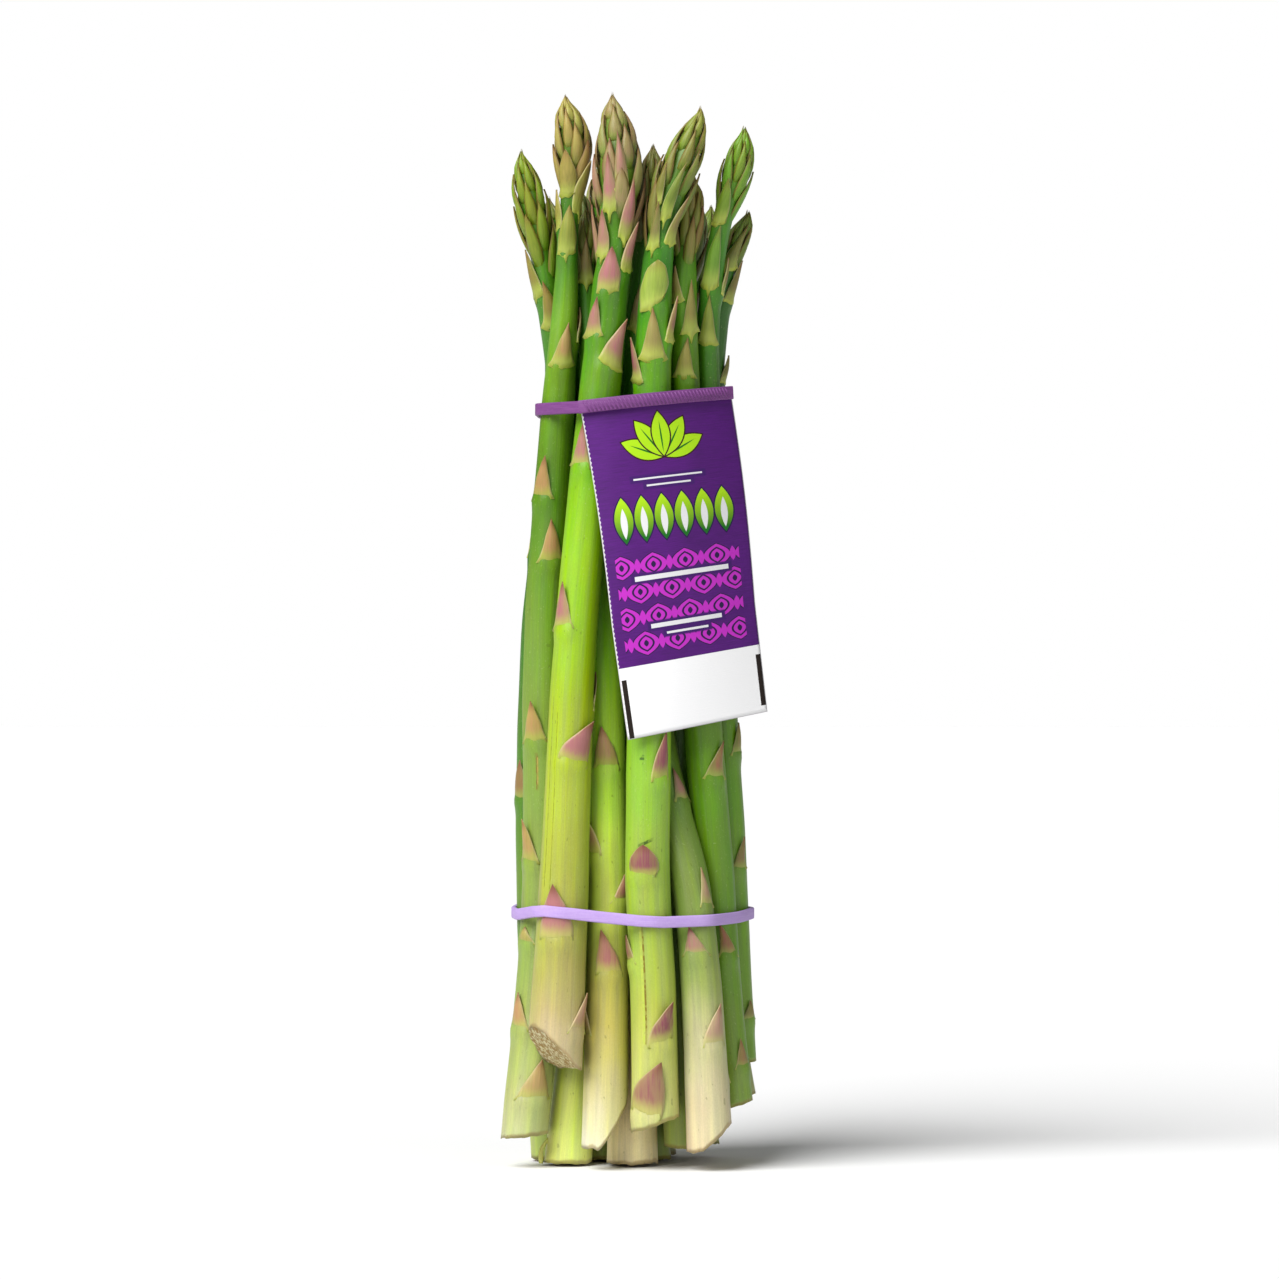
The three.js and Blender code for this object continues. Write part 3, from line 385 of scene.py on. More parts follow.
def spear_finish(name, spear):
    """Waxy stem, scales with a bright rim, a blush and thin pale edges, and the stringy pith of the cut."""
    material, tree, skin = new_material(name)
    place = attribute(tree, "stem_place", "Vector")
    east, north, rise = parts_of(tree, place)
    height = rise * (1 / MM)
    across, along, _ = parts_of(tree, attribute(tree, "scale_place", "Vector"))
    on_scale, on_cut, near_cut, blush, tone, rim = (
        Field(tree, attribute(tree, kind))
        for kind in ("on_scale", "on_cut", "near_cut", "blush", "tone", "rim"))

    streaks = grain(tree, place, (1, 1, 0.03), 800, 3)
    lines = grain(tree, place, (1, 1, 0.03), 3200, 1)
    fine = grain(tree, place, (1, 1, 0.6), 4600, 2, 0.7)
    blotches = grain(tree, place, (1, 1, 0.35), 130, 3)
    specks = grain(tree, place, (1, 1, 0.6), 2600, 2, 0.7)

    stem = up_ramp(tree, height + (blotches - 0.5) * 30, spear["stem"])
    shade = 1 + (streaks - 0.5) * 0.5 + (lines - 0.5) * 0.18 + (fine - 0.5) * 0.3 + (blotches - 0.5) * 0.4
    stem = shifted(tree, stem, 0.5 + (blotches - 0.5) * 0.06, 1 + (streaks - 0.5) * 0.3, shade)
    angle = east.math("ARCTAN2", north * -1) * (180 / math.pi)
    for start, end, direction, half_wide, climb, tint in spear["marks"]:
        aside = angle - direction
        uneven = aside.math("ABSOLUTE") + (streaks - 0.5) * half_wide
        beside = uneven.step(half_wide, half_wide * 0.5)
        level = height - aside * climb
        soft = min(0.6, (end - start) * 0.8)
        inside = level.step(start - soft, start) * (1 - level.step(end, end + soft))
        broken = 0.45 + grain(tree, place, (1, 1, 1), 900, 2).step(0.42, 0.56) * 0.5
        stem = mixed(tree, beside * inside * broken, stem, linear(*tint))
    pale_specks = specks.step(0.62, 0.74) * 0.3
    stem = mixed(tree, pale_specks, stem, linear(205, 215, 150))
    dark_specks = grain(tree, place, (1, 1, 0.5), 1300, 1, 0.4).step(0.72, 0.78) * 0.35
    stem = mixed(tree, dark_specks, stem, linear(96, 104, 50))

    veins = grain(tree, place, (1, 1, 0.05), 2300, 2)
    scale = mixed(tree, 0.5 + along * 0.4, stem, up_ramp(tree, height, spear["scales"]))
    scale = shifted(tree, scale, 0.5 + (tone - 0.5) * 0.04, 1.05, 0.52 + veins * 0.7 + tone * 0.2)
    edge = across * across
    blush_share = blush * along.step(0.04, 0.38) * (0.35 + veins * 1.15) * (1 - edge * 0.35)
    scale = mixed(tree, blush_share.clamped(), scale, linear(*spear["blush"]))
    tip_share = along.step(0.66, 1) * (0.4 + blush * 0.5)
    scale = mixed(tree, tip_share.clamped(), scale, linear(142, 88, 68))
    high = height.step(*LEAVES_THICKEN)
    glow = (1 - along.step(0.08, 0.42)) * (0.4 + high * 0.2) * rim
    scale = mixed(tree, glow, scale, linear(206, 212, 106))
    rim_share = (1 - along.step(0.03, 0.1)) * (0.65 + high * 0.25) * rim
    scale = mixed(tree, rim_share, scale, linear(200, 214, 88))
    margin = mixed(tree, rim, linear(132, 92, 62), linear(222, 208, 158))
    in_head = 1 - rim
    margin_share = edge.step(0.66 - in_head * 0.3, 1.0) * along.step(-0.2, 0.3)
    scale = mixed(tree, margin_share * (0.6 - along * 0.2 + in_head * 0.2), scale, margin)

    strings = grain(tree, place, (1, 1, 0.2), 1500, 2, 0.6)
    pith = mixed(tree, strings.step(0.42, 0.62), linear(176, 146, 92), linear(238, 228, 182))

    stem = mixed(tree, (near_cut * blotches * 2).step(0.35, 0.8) * 0.5, stem, linear(176, 140, 88))
    colour = mixed(tree, on_scale, stem, scale)
    colour = mixed(tree, on_cut, colour, pith)
    relief = streaks * 0.5 + lines * 0.6 + specks * 0.25 + veins * on_scale * 0.8 + strings * on_cut * 3
    roughness = 0.34 + blotches * 0.14 + on_scale * 0.08 + on_cut * 0.4
    coat(tree, skin, colour, roughness, 0.38, relief, 0.32, 0.22)
    skin.inputs["Subsurface Weight"].default_value = 0.12
    skin.inputs["Subsurface Radius"].default_value = (0.6, 1.0, 0.25)
    skin.inputs["Subsurface Scale"].default_value = 0.002
    return material


def smoothed(values, spread):
    """A row of numbers averaged with its neighbours, with its ends kept."""
    reach = int(3 * spread)
    weights = np.exp(-0.5 * (np.arange(-reach, reach + 1) / spread) ** 2)
    before = 2 * values[0] - values[reach:0:-1]
    after = 2 * values[-1] - values[-2:-reach - 2:-1]
    return np.convolve(np.concatenate([before, values, after]), weights / weights.sum(), "valid")


def slice_at(triangles, height):
    """Where the edges of triangles pass through a level."""
    above = triangles[:, :, 2] > height
    crossing = triangles[above.any(1) & ~above.all(1)]
    points = []
    for a, b in ((0, 1), (1, 2), (2, 0)):
        low, high = crossing[:, a], crossing[:, b]
        cut_through = (low[:, 2] > height) != (high[:, 2] > height)
        low, high = low[cut_through], high[cut_through]
        share = (height - low[:, 2]) / (high[:, 2] - low[:, 2])
        points.append((low + (high - low) * share[:, None])[:, :2])
    return np.concatenate(points)


def fitted_circle(points):
    """The x, y and radius of the circle that fits points best, once those well outside it are left out."""
    for _ in range(3):
        sums = np.column_stack([2 * points, np.ones(len(points))])
        x, y, rest = np.linalg.lstsq(sums, (points ** 2).sum(1), rcond=None)[0]
        radius = math.sqrt(max(rest + x * x + y * y, 0.04))
        points = points[np.hypot(points[:, 0] - x, points[:, 1] - y) < radius * 1.07]
    return x, y, radius


def measured_line(node, cut):
    """A spear's solid as measured in mm: rows of x, y, height, radius and openness of scales, and its tip."""
    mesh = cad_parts[node].data
    mesh.calc_loop_triangles()
    corners = np.array([vertex.co for vertex in mesh.vertices]) / MM
    triangles = corners[np.array([triangle.vertices for triangle in mesh.loop_triangles])]
    tip = corners[:, 2].max()
    lowest, rise = cut[:2]
    heights = np.arange(math.ceil(lowest + CUT_SPAN * rise) + 1, tip - 0.5, LINE_STEP)
    rows = np.array([fitted_circle(slice_at(triangles, height)) for height in heights])
    grid = np.arange(0, LINE_TOP + LINE_STEP, LINE_STEP)
    line = [grid]
    for values, spread in zip(rows.T, LINE_SPREADS):
        even = smoothed(values, spread)
        slope = (even[SLOPE_STEPS] - even[0]) / (SLOPE_STEPS * LINE_STEP)
        spaced = np.interp(grid, heights, even)
        below = grid < heights[0]
        spaced[below] = even[0] + slope * (grid[below] - heights[0])
        line.append(spaced)
    grid, x, y, radius = line
    closing = np.clip((tip - grid) / CLOSING, 0, 1) ** 0.6
    neck = np.interp(tip - CLOSING, grid, radius)
    radius = np.where(grid > tip - CLOSING, np.minimum(radius, neck) * closing, radius)
    return np.column_stack([x, y, grid, np.clip(radius, 0.12, None), 0.15 + 0.85 * closing]), tip


def turn_between(one, other):
    """How many degrees lie between two directions."""
    return abs((one - other + 540) % 360 - 180)


def ruled_leaves(spear, tip, seed):
    """Leaves by rule where none is listed: closer together towards the tip, each a golden angle on."""
    neck = tip - spear["head"][0]
    height = spear["cut"][0] + 12 + (seed * 7) % 11
    direction = (seed * 101) % 360
    leaves = []
    while height < neck - 4:
        up = height / TALLEST
        facing = turn_between(direction, 0) < 90
        clear = all(abs(row[0] - height) >= 10 or turn_between(row[1], direction) >= 100
                    for row in spear["leaves"])
        if clear and not (facing and len(spear["leaves"]) > 3):
            leaves.append((height, direction, 9.5 - 2 * up, 46, 8, 0.4 + 0.4 * (len(leaves) % 2), 0.8, 0.1))
        direction += GOLDEN_TURN
        height += 34 - 22 * up
    return leaves


def head_leaves(spear, line, tip, seed):
    """The scales of the head, in a spiral up to its tip: ever closer, shorter, narrower and less flushed."""
    dice = np.random.default_rng(seed)
    length, half_width = spear["head"]
    heights = []
    height = tip - length
    while height < tip - 3.2:
        heights.append(height)
        height += HEAD_STEP * (1.15 - 0.75 * (height - tip + length) / length) * length / 30
    leaves = []
    for k, height in enumerate(heights):
        up = (height - tip + length) / length
        scale_length = (13.5 - 7 * up) * (0.72 + 0.28 * length / 36)
        scale_length = min(scale_length, tip - height - 0.4 + 0.8 * dice.random())
        radius = np.interp(height + 2, line[:, 2], line[:, 3])
        spread = min(math.degrees(half_width * (1 - 0.4 * up) / radius), 85)
        direction = seed * 63 + k * GOLDEN_TURN
        listed = any(abs(row[0] - height) < 3 and turn_between(row[1], direction) < 28
                     for row in spear["leaves"])
        if not listed:
            lean = dice.uniform(-6, 6)
            blush = spear["head_blush"] * (1 - 0.5 * up) * dice.uniform(0.6, 1.3)
            leaves.append((height, direction, scale_length, spread, lean, 0.06 + 0.6 * (1 - up), blush, 0.3))
    return leaves


def rising(side, rise):
    """How a cut rises from its low side, -1, to its high side, 1: evenly, or torn up where it is steep."""
    return 1 + side if rise < 0.5 else np.maximum(side + 0.55, 0) ** 1.2 * 1.2


def strand_rings(line, direction, steps, start):
    """A strand peeled off the stem: its vertices, their places on it, and its faces from vertex start on."""
    side = np.array([math.sin(math.radians(direction)), -math.cos(math.radians(direction))])
    round_it = np.linspace(0, 2 * math.pi, STRAND_SIDES, endpoint=False)
    ends = np.arange(STRAND_SIDES)
    vertices, places, faces = [], [], []
    for k, (height, out, thick) in enumerate(steps):
        x, y, skin_radius = (np.interp(height, line[:, 2], line[:, part]) for part in (0, 1, 3))
        flat = side * (skin_radius + out) + thick * np.column_stack([np.cos(round_it), np.sin(round_it)])
        vertices.append(np.column_stack([flat + (x, y), np.full(STRAND_SIDES, height)]))
        places.append(np.column_stack([flat, np.full(STRAND_SIDES, height)]))
        ring = (start + k * STRAND_SIDES + ends).tolist()
        if k:
            faces += [(ring[j], ring[j - STRAND_SIDES + 1], below[j - STRAND_SIDES + 1], below[j])
                      for j in range(STRAND_SIDES)]
        else:
            faces.append(tuple(ring))
        below = ring
    faces.append(tuple(ring[::-1]))
    return np.vstack(vertices), np.vstack(places), faces


def stem_mesh(name, spear, line, tip, leaves, seed):
    """The fleshy stem up into the head: faint ribs, a swelling under each scale leaf, and the cut end."""
    dice = np.random.default_rng(seed)
    lowest, rise, direction, ragged = spear["cut"]
    turn = np.linspace(0, 2 * math.pi, STEM_SIDES, endpoint=False)
    end_radius = np.interp(lowest, line[:, 2], line[:, 3])
    torn = sum(np.sin(turn * n + dice.uniform(0, 6.3)) * dice.uniform(0.4, 1) / 2 for n in (3, 5, 9, 14))

    def cut_height(inward):
        side = inward * np.cos(turn - math.radians(direction))
        return lowest + ragged * 0.6 + rise * end_radius * rising(side, rise)

    cut = np.maximum(cut_height(1) + ragged * 0.5 * torn, max(lowest, 0.0))
    rows = int((tip - lowest) / STEM_ROW)
    share = np.linspace(0, 1, rows)[:, None]
    height = cut * (1 - share) + (tip - 0.6) * share
    ribs = np.zeros_like(height)
    for n, depth in ((2, 0.018), (3, 0.012), (7, 0.006), (12, 0.004)):
        begin, wander = dice.uniform(0, 6.3), dice.uniform(0, 6.3)
        ribs += depth * np.sin(n * turn + begin + 1.5 * np.sin(height / 40 + wander))
    radius = np.interp(height, line[:, 2], line[:, 3]) * (1 + ribs)
    for row in leaves:
        aside = (turn - math.radians(row[1]) + math.pi) % (2 * math.pi) - math.pi
        window = np.exp(-(aside / math.radians(row[3] * 1.05)) ** 4)
        radius += 0.5 * window * np.exp(-((height - row[0] - 0.2) / 1.9) ** 2)
    in_head = np.clip((height - (tip - spear["head"][0])) / 6, 0, 1)
    radius *= 1 - 0.13 * in_head
    rings = [(height[k], radius[k], 0.0) for k in range(rows)]
    for inward in CUT_RINGS:
        strings = dice.uniform(-0.12, 0.18, STEM_SIDES) * ragged
        cut_face = np.maximum(cut_height(inward) + strings + 0.12, lowest)
        rings.insert(0, (cut_face, radius[0] * inward, 1.0))
    vertices, places, on_cut, near_cut = [], [], [], []
    for ring_height, ring_radius, is_cut in rings:
        x = np.interp(ring_height, line[:, 2], line[:, 0])
        y = np.interp(ring_height, line[:, 2], line[:, 1])
        east, north = ring_radius * np.sin(turn), -ring_radius * np.cos(turn)
        vertices.append(np.column_stack([x + east, y + north, ring_height]))
        places.append(np.column_stack([east, north, ring_height]))
        on_cut.append(np.full(STEM_SIDES, is_cut))
        near_cut.append(np.exp((cut - ring_height) / 0.9) * (1 - is_cut))
    ends = [vertices[0].mean(0), vertices[-1].mean(0) + (0, 0, 0.5)]
    vertices = np.concatenate([*vertices, ends])
    places = np.concatenate([*places, ends * np.array([0, 0, 1])])
    on_cut = np.concatenate([*on_cut, [1.0, 0.0]])
    near_cut = np.concatenate([*near_cut, [0.0, 0.0]])
    faces = []
    last = len(rings) * STEM_SIDES
    for k in range(len(rings) - 1):
        for j in range(STEM_SIDES):
            a, b = k * STEM_SIDES + j, k * STEM_SIDES + (j + 1) % STEM_SIDES
            faces.append((a, b, b + STEM_SIDES, a + STEM_SIDES))
    for j in range(STEM_SIDES):
        following = (j + 1) % STEM_SIDES
        faces.append((last, following, j))
        faces.append((last + 1, last - STEM_SIDES + j, last - STEM_SIDES + following))
    for strand_turn, steps in spear["strands"]:
        strand, strand_places, strand_faces = strand_rings(line, strand_turn, steps, len(vertices))
        vertices = np.vstack([vertices, strand])
        places = np.vstack([places, strand_places])
        faces += strand_faces
        on_cut = np.append(on_cut, np.zeros(len(strand)))
        near_cut = np.append(near_cut, np.zeros(len(strand)))
    mesh = bpy.data.meshes.new(name)
    mesh.from_pydata((vertices * MM).tolist(), [], faces)
    mesh.shade_smooth()
    store(mesh, "stem_place", "FLOAT_VECTOR", places * MM)
    store(mesh, "on_cut", "FLOAT", on_cut)
    store(mesh, "near_cut", "FLOAT", near_cut)
    return mesh


def store(mesh, name, kind, values):
    """Keeps a number or a vector for every vertex of a mesh."""
    layer = mesh.attributes.new(name, kind, "POINT")
    part = "vector" if kind == "FLOAT_VECTOR" else "value"
    layer.data.foreach_set(part, np.ravel(values).astype(np.float32))


def sheet_faces(columns, rows):
    """The faces of a thin closed sheet of two layers, each a grid of vertices row by row, and of its rim."""
    wide = columns + 1
    layer = wide * (rows + 1)
    faces = []
    for j in range(rows):
        for i in range(columns):
            a = j * wide + i
            faces.append((a, a + wide, a + wide + 1, a + 1))
            faces.append((layer + a, layer + a + 1, layer + a + wide + 1, layer + a + wide))
    edge = [*range(columns), *(j * wide + columns for j in range(rows)),
            *(rows * wide + i for i in range(columns, 0, -1)), *(j * wide for j in range(rows, 0, -1))]
    for k, start in enumerate(edge):
        end = edge[(k + 1) % len(edge)]
        faces.append((start, end, end + layer, start + layer))
    return faces


def scale_blank(columns, rows):
    """A flat closed scale: across from -1 to 1, along from 0 to 1, and an inner and an outer layer."""
    vertices = [(2 * i / columns - 1, (j / rows) ** 0.85, layer)
                for layer in (0, 1) for j in range(rows + 1) for i in range(columns + 1)]
    mesh = bpy.data.meshes.new("scale_blank")
    mesh.from_pydata(vertices, [], sheet_faces(columns, rows))
    mesh.shade_smooth()
    store(mesh, "scale_place", "FLOAT_VECTOR", vertices)
    store(mesh, "on_scale", "FLOAT", [1.0] * len(vertices))
    return bpy.data.objects.new("scale_blank", mesh)


def new_tree(name, **inputs):
    """An empty geometry tree, the identifiers of its inputs by name, and the sockets of their values."""
    tree = bpy.data.node_groups.new(name, "GeometryNodeTree")
    sockets = {}
    for kind, names in {"Geometry": ["Geometry"], **inputs, "Material": ["Finish"]}.items():
        for label in names:
            made = tree.interface.new_socket(label, in_out="INPUT", socket_type="NodeSocket" + kind)
            sockets[label] = made.identifier
    tree.interface.new_socket("Geometry", in_out="OUTPUT", socket_type="NodeSocketGeometry")
    return tree, sockets, tree.nodes.new("NodeGroupInput").outputs


def closed_tree(tree, pieces, finish):
    """Ends a tree: its pieces are joined, made real and given their material."""
    joined = tree.nodes.new("GeometryNodeJoinGeometry")
    for piece in pieces:
        tree.links.new(piece, joined.inputs[0])
    whole = add_node(tree, "GeometryNodeRealizeInstances", Geometry=joined.outputs[0])
    finished = add_node(tree, "GeometryNodeSetMaterial", Geometry=whole.outputs[0], Material=finish)
    tree.links.new(finished.outputs[0], tree.nodes.new("NodeGroupOutput").inputs[0])


def scales_tree():
    """Geometry nodes that wrap a blank scale onto a stem at every point, by the sizes stored on the point."""
    tree, sockets, given = new_tree(
        "Scales on a stem", Object=["Stem", "Stem Line", "Stem Scale", "Head Scale"],
        Float=["Line Step", "Scale Thickness", "Rim", "Proud", "Tuck"])

    def size(name):
        return Field(tree, given[name])

    def stored(name, kind="FLOAT"):
        named = add_node(tree, "GeometryNodeInputNamedAttribute", {"data_type": kind}, Name=name)
        return named.outputs["Attribute"]

    planted = tree.nodes.new("GeometryNodeJoinGeometry")
    on_stem = Field(tree, stored("rim")).math("GREATER_THAN", 0.5)
    for name, chosen in (("Stem Scale", on_stem), ("Head Scale", 1 - on_stem)):
        blank = add_node(tree, "GeometryNodeObjectInfo", Object=given[name])
        some = add_node(tree, "GeometryNodeInstanceOnPoints", Points=given["Geometry"], Selection=chosen,
                        Instance=blank.outputs["Geometry"])
        tree.links.new(some.outputs[0], planted.inputs[0])
    loose = add_node(tree, "GeometryNodeRealizeInstances", Geometry=planted.outputs[0])

    across, along, layer = parts_of(tree, stored("scale_place", "FLOAT_VECTOR"))
    base, turn, length, spread, lean, curl, roundness, slant, rim, tone = (
        Field(tree, stored(name))
        for name in ("base", "turn", "length", "spread", "lean", "curl", "roundness", "slant", "rim", "tone"))

    # The scale's outline, and the height and direction of each of its points.
    edge = across * across
    shoulder = (along * -10).math("EXPONENT") * rim * 0.2 * (1 - roundness * 5).clamped()
    pointed = (1 - along ** (1.2 + roundness * 2.1)) * (1 - rim * 0.2) + shoulder
    swollen = 0.74 + 0.26 * (along * 4.4).math("MINIMUM", math.pi).math("SINE")
    frill = 1 + (along * 13 + tone * 30).math("SINE") * along * 0.06
    width = pointed * (1 + roundness.math("MINIMUM", 1) * (swollen - 1)) * frill
    spurred = ((base - SPURS_FROM * MM) * 100).clamped()
    spur = (edge * -60).math("EXPONENT") * (1 - along) ** 10 * rim * spurred
    ripple = (across * 6 + tone * 40).math("SINE") * (1 - along) ** 3 * 0.018
    rise = along + edge * (1 - along) * 0.05 - spur * tone.step(0.2, 0.6) * 0.14 + ripple
    height = base + length * rise + slant * across * (1 - along)
    angle = turn + spread * width * across + lean * along ** 1.5

    # The stem at that height: its middle, its radius, and how far its scales may open.
    line = add_node(tree, "GeometryNodeObjectInfo", Object=given["Stem Line"])
    step = height / size("Line Step")
    below = step.math("FLOOR")
    share = step - below

    def on_line(kind, value):
        made = [add_node(tree, "GeometryNodeSampleIndex", {"data_type": kind, "clamp": True},
                         Geometry=line.outputs["Geometry"], Value=value, Index=index).outputs[0]
                for index in (below, below + 1)]
        mix = add_node(tree, "ShaderNodeMix", {"data_type": "VECTOR" if kind == "FLOAT_VECTOR" else "FLOAT"})
        slots = (4, 5) if kind == "FLOAT_VECTOR" else (2, 3)
        plug(tree, share, mix.inputs[0])
        plug(tree, made[0], mix.inputs[slots[0]])
        plug(tree, made[1], mix.inputs[slots[1]])
        return mix.outputs[1 if kind == "FLOAT_VECTOR" else 0]

    middle = on_line("FLOAT_VECTOR", tree.nodes.new("GeometryNodeInputPosition").outputs[0])
    radius = Field(tree, on_line("FLOAT", stored("thick")))
    open_share = Field(tree, on_line("FLOAT", stored("open")))

    # How far its outer and its inner side stand off the stem.
    near_base = (along * -11).math("EXPONENT")
    belly = (along * 2.8 + 0.12).math("SINE").math("MAXIMUM", 0)
    hidden = size("Tuck") * (1 - rim) * (along * -3.2).math("EXPONENT")
    thickening = LEAVES_THICKEN[1] - LEAVES_THICKEN[0]
    high = ((base - LEAVES_THICKEN[0] * MM) / (thickening * MM)).clamped()
    lip = size("Rim") * rim * near_base * (1 - edge * 0.35) * (0.1 + high * 0.9)
    keel = size("Proud") * belly * (1 - edge * 0.55) * (1 + high * 0.35)
    corners = size("Rim") * rim * edge * edge * (along * -7).math("EXPONENT")
    outer = (SKIN_GAP * MM + lip + keel + corners + curl * 1.5 * along ** 2.2) * open_share - hidden
    thin = size("Scale Thickness") * (1.05 - edge * 0.6) * (1 - along * 0.3) * open_share
    inner = outer - thin - near_base * (ROOTED * MM)
    away = radius + inner + (outer - inner) * layer
    stem_place = add_node(tree, "ShaderNodeCombineXYZ", X=away * angle.math("SINE"),
                          Y=away * angle.math("COSINE") * -1, Z=height)
    flat = add_node(tree, "ShaderNodeVectorMath", {"operation": "MULTIPLY"})
    plug(tree, stem_place.outputs[0], flat.inputs[0])
    flat.inputs[1].default_value = (1, 1, 0)
    final = add_node(tree, "ShaderNodeVectorMath", {"operation": "ADD"})
    plug(tree, middle, final.inputs[0])
    plug(tree, flat.outputs[0], final.inputs[1])

    kept = add_node(tree, "GeometryNodeStoreNamedAttribute", {"data_type": "FLOAT_VECTOR", "domain": "POINT"},
                    Geometry=loose.outputs[0], Name="stem_place", Value=stem_place.outputs[0])
    wrapped = add_node(tree, "GeometryNodeSetPosition", Geometry=kept.outputs[0], Position=final.outputs[0])
    stem = add_node(tree, "GeometryNodeObjectInfo", Object=given["Stem"])
    closed_tree(tree, [wrapped.outputs[0], stem.outputs["Geometry"]], given["Finish"])
    return tree, sockets


def grown(host, tree, sockets, **inputs):
    """Runs a tree on an object with these inputs, and returns the plain mesh that it makes."""
    modifier = host.modifiers.new(tree.name, "NODES")
    modifier.node_group = tree
    for name, value in inputs.items():
        modifier[sockets[name.replace("_", " ")]] = value
    bpy.context.scene.collection.objects.link(host)
    graph = bpy.context.evaluated_depsgraph_get()
    mesh = bpy.data.meshes.new_from_object(host.evaluated_get(graph), depsgraph=graph)
    host.modifiers.remove(modifier)
    bpy.data.objects.remove(host)
    return mesh


def shown(name, mesh, slot, *nodes):
    """Puts a finished mesh into the scene in place of CAD nodes."""
    mesh.name = name
    piece = bpy.data.objects.new(name, mesh)
    bpy.context.scene.collection.objects.link(piece)
    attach(piece, "root")
    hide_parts(*nodes)


stem_scale = scale_blank(columns=10, rows=11)
head_scale = scale_blank(columns=4, rows=6)
tree, sockets = scales_tree()
lines = {}
for seed, (name, own) in enumerate(SPEARS.items()):
    spear = {**PLAIN_SPEAR, **own}
    line, tip = measured_line(name, spear["cut"])
    lines[name] = line
    leaves = [*spear["leaves"], *ruled_leaves(spear, tip, seed)]
    stem = bpy.data.objects.new(name + "_stem", stem_mesh(name + "_stem", spear, line, tip, leaves, seed))
    line_mesh = bpy.data.meshes.new(name + "_line")
    line_mesh.from_pydata((line[:, :3] * MM).tolist(), [], [])
    store(line_mesh, "thick", "FLOAT", line[:, 3] * MM)
    store(line_mesh, "open", "FLOAT", line[:, 4])
    in_head = head_leaves(spear, line, tip, seed)
    rims = [1.0] * len(leaves) + [0.0] * len(in_head)
    leaves += in_head
    points = bpy.data.meshes.new(name + "_points")
    points.from_pydata([(0, 0, row[0] * MM) for row in leaves], [], [])
    dice = np.random.default_rng(seed)
    rows = [row if len(row) > 8 else (*row, dice.uniform(-0.35, 0.35)) for row in leaves]
    for label, values in zip(LEAF_COLUMNS, np.array(rows, float).T):
        if label in ("turn", "spread", "lean"):
            values = np.radians(values)
        elif label in ("base", "length", "curl", "slant"):
            values = values * MM
        store(points, label, "FLOAT", values)
    store(points, "tone", "FLOAT", dice.random(len(leaves)))
    store(points, "rim", "FLOAT", rims)
    mesh = grown(
        bpy.data.objects.new(name + "_points", points), tree, sockets,
        Stem=stem, Stem_Line=bpy.data.objects.new(name + "_line", line_mesh), Line_Step=LINE_STEP * MM,
        Stem_Scale=stem_scale, Head_Scale=head_scale, Scale_Thickness=0.5 * MM,
        Rim=0.4 * MM, Proud=0.6 * MM, Tuck=0.75 * MM,
        Finish=spear_finish(name + "_skin", spear))
    shown(name + "_dressed", mesh, "spear", name)


# Label
# A card tag, printed on its front and coated with a thin film, which hangs from the strip of the upper band
# and bows round the stems behind it. Its top edge is caught behind the strip.

BOX_MIDDLE = (1.35, 3.1)  # mm from where the tag's own sizes are counted to the frame's middle
TAG_THICK = 0.42
TAG_WIDE = 31.6  # along its bowed face
TAG_LONG = 66.0
# The ends of the tag: x of its left and right corners, three depths that bow it, the foot's corner heights
TAG_TOP = {"left": -9.8, "right": 20.9, "back": (-16.1, -22.6, -7.8)}
TAG_FOOT = {"left": 0.0, "right": 28.5, "back": (-21.0, -17.2, -7.2), "heights": (87.7, 93.3)}
TAG_TUCK = 0.7  # how far its top edge reaches up behind the strip
TAG_FLARE = 0.5  # how far its edges bulge to the right below the strip
UPPER_HEIGHT = 155.4
UPPER_RISE = 0.107  # how steeply the upper band rises towards the right, in mm a mm
UPPER_RISE_FROM = TAG_TOP["left"] - BOX_MIDDLE[0]  # the x from which it does
PANEL_FROM = 52.3  # mm from the tag's top to its white panel


def upper_height(x):
    """Height of the upper band's middle at x, in mm."""
    return UPPER_HEIGHT + UPPER_RISE * max(x - UPPER_RISE_FROM, 0)


def tag_point(across, down):
    """A point on the tag's middle layer in mm: across from its left edge to its right, down from 0 to 1."""
    def between(start, end, share):
        return start + (end - start) * share

    def bow(back):
        return back[0] * (1 - across) ** 2 + 2 * back[1] * across * (1 - across) + back[2] * across ** 2

    top_x, foot_x = (between(end["left"], end["right"], across) for end in (TAG_TOP, TAG_FOOT))
    x = between(top_x, foot_x, down)
    top = upper_height(x - BOX_MIDDLE[0]) + TAG_TUCK
    height = between(top, between(*TAG_FOOT["heights"], across), down)
    x += TAG_FLARE * math.sin(math.pi * min(down * 1.5, 1))
    y = between(bow(TAG_TOP["back"]), bow(TAG_FOOT["back"]), down)
    return np.array([x - BOX_MIDDLE[0], y - BOX_MIDDLE[1], height])


def tag_outward(across, down):
    """The level direction in which the tag's front faces there."""
    beside = tag_point(across + 0.01, down) - tag_point(across - 0.01, down)
    return np.array([beside[1], -beside[0], 0]) / math.hypot(beside[0], beside[1])


def tag_mesh(columns, rows):
    """The bowed card, front and back, with a narrow rim."""
    vertices, places = [], []
    for side in (1, -1):
        for j in range(rows + 1):
            for i in range(columns + 1):
                across, down = i / columns, j / rows
                vertices.append(tag_point(across, down) + tag_outward(across, down) * side * TAG_THICK / 2)
                places.append((across * TAG_WIDE, down * TAG_LONG, side))
    mesh = bpy.data.meshes.new("tag")
    mesh.from_pydata((np.array(vertices) * MM).tolist(), [], sheet_faces(columns, rows))
    mesh.shade_smooth()
    store(mesh, "print_place", "FLOAT_VECTOR", places)
    return mesh


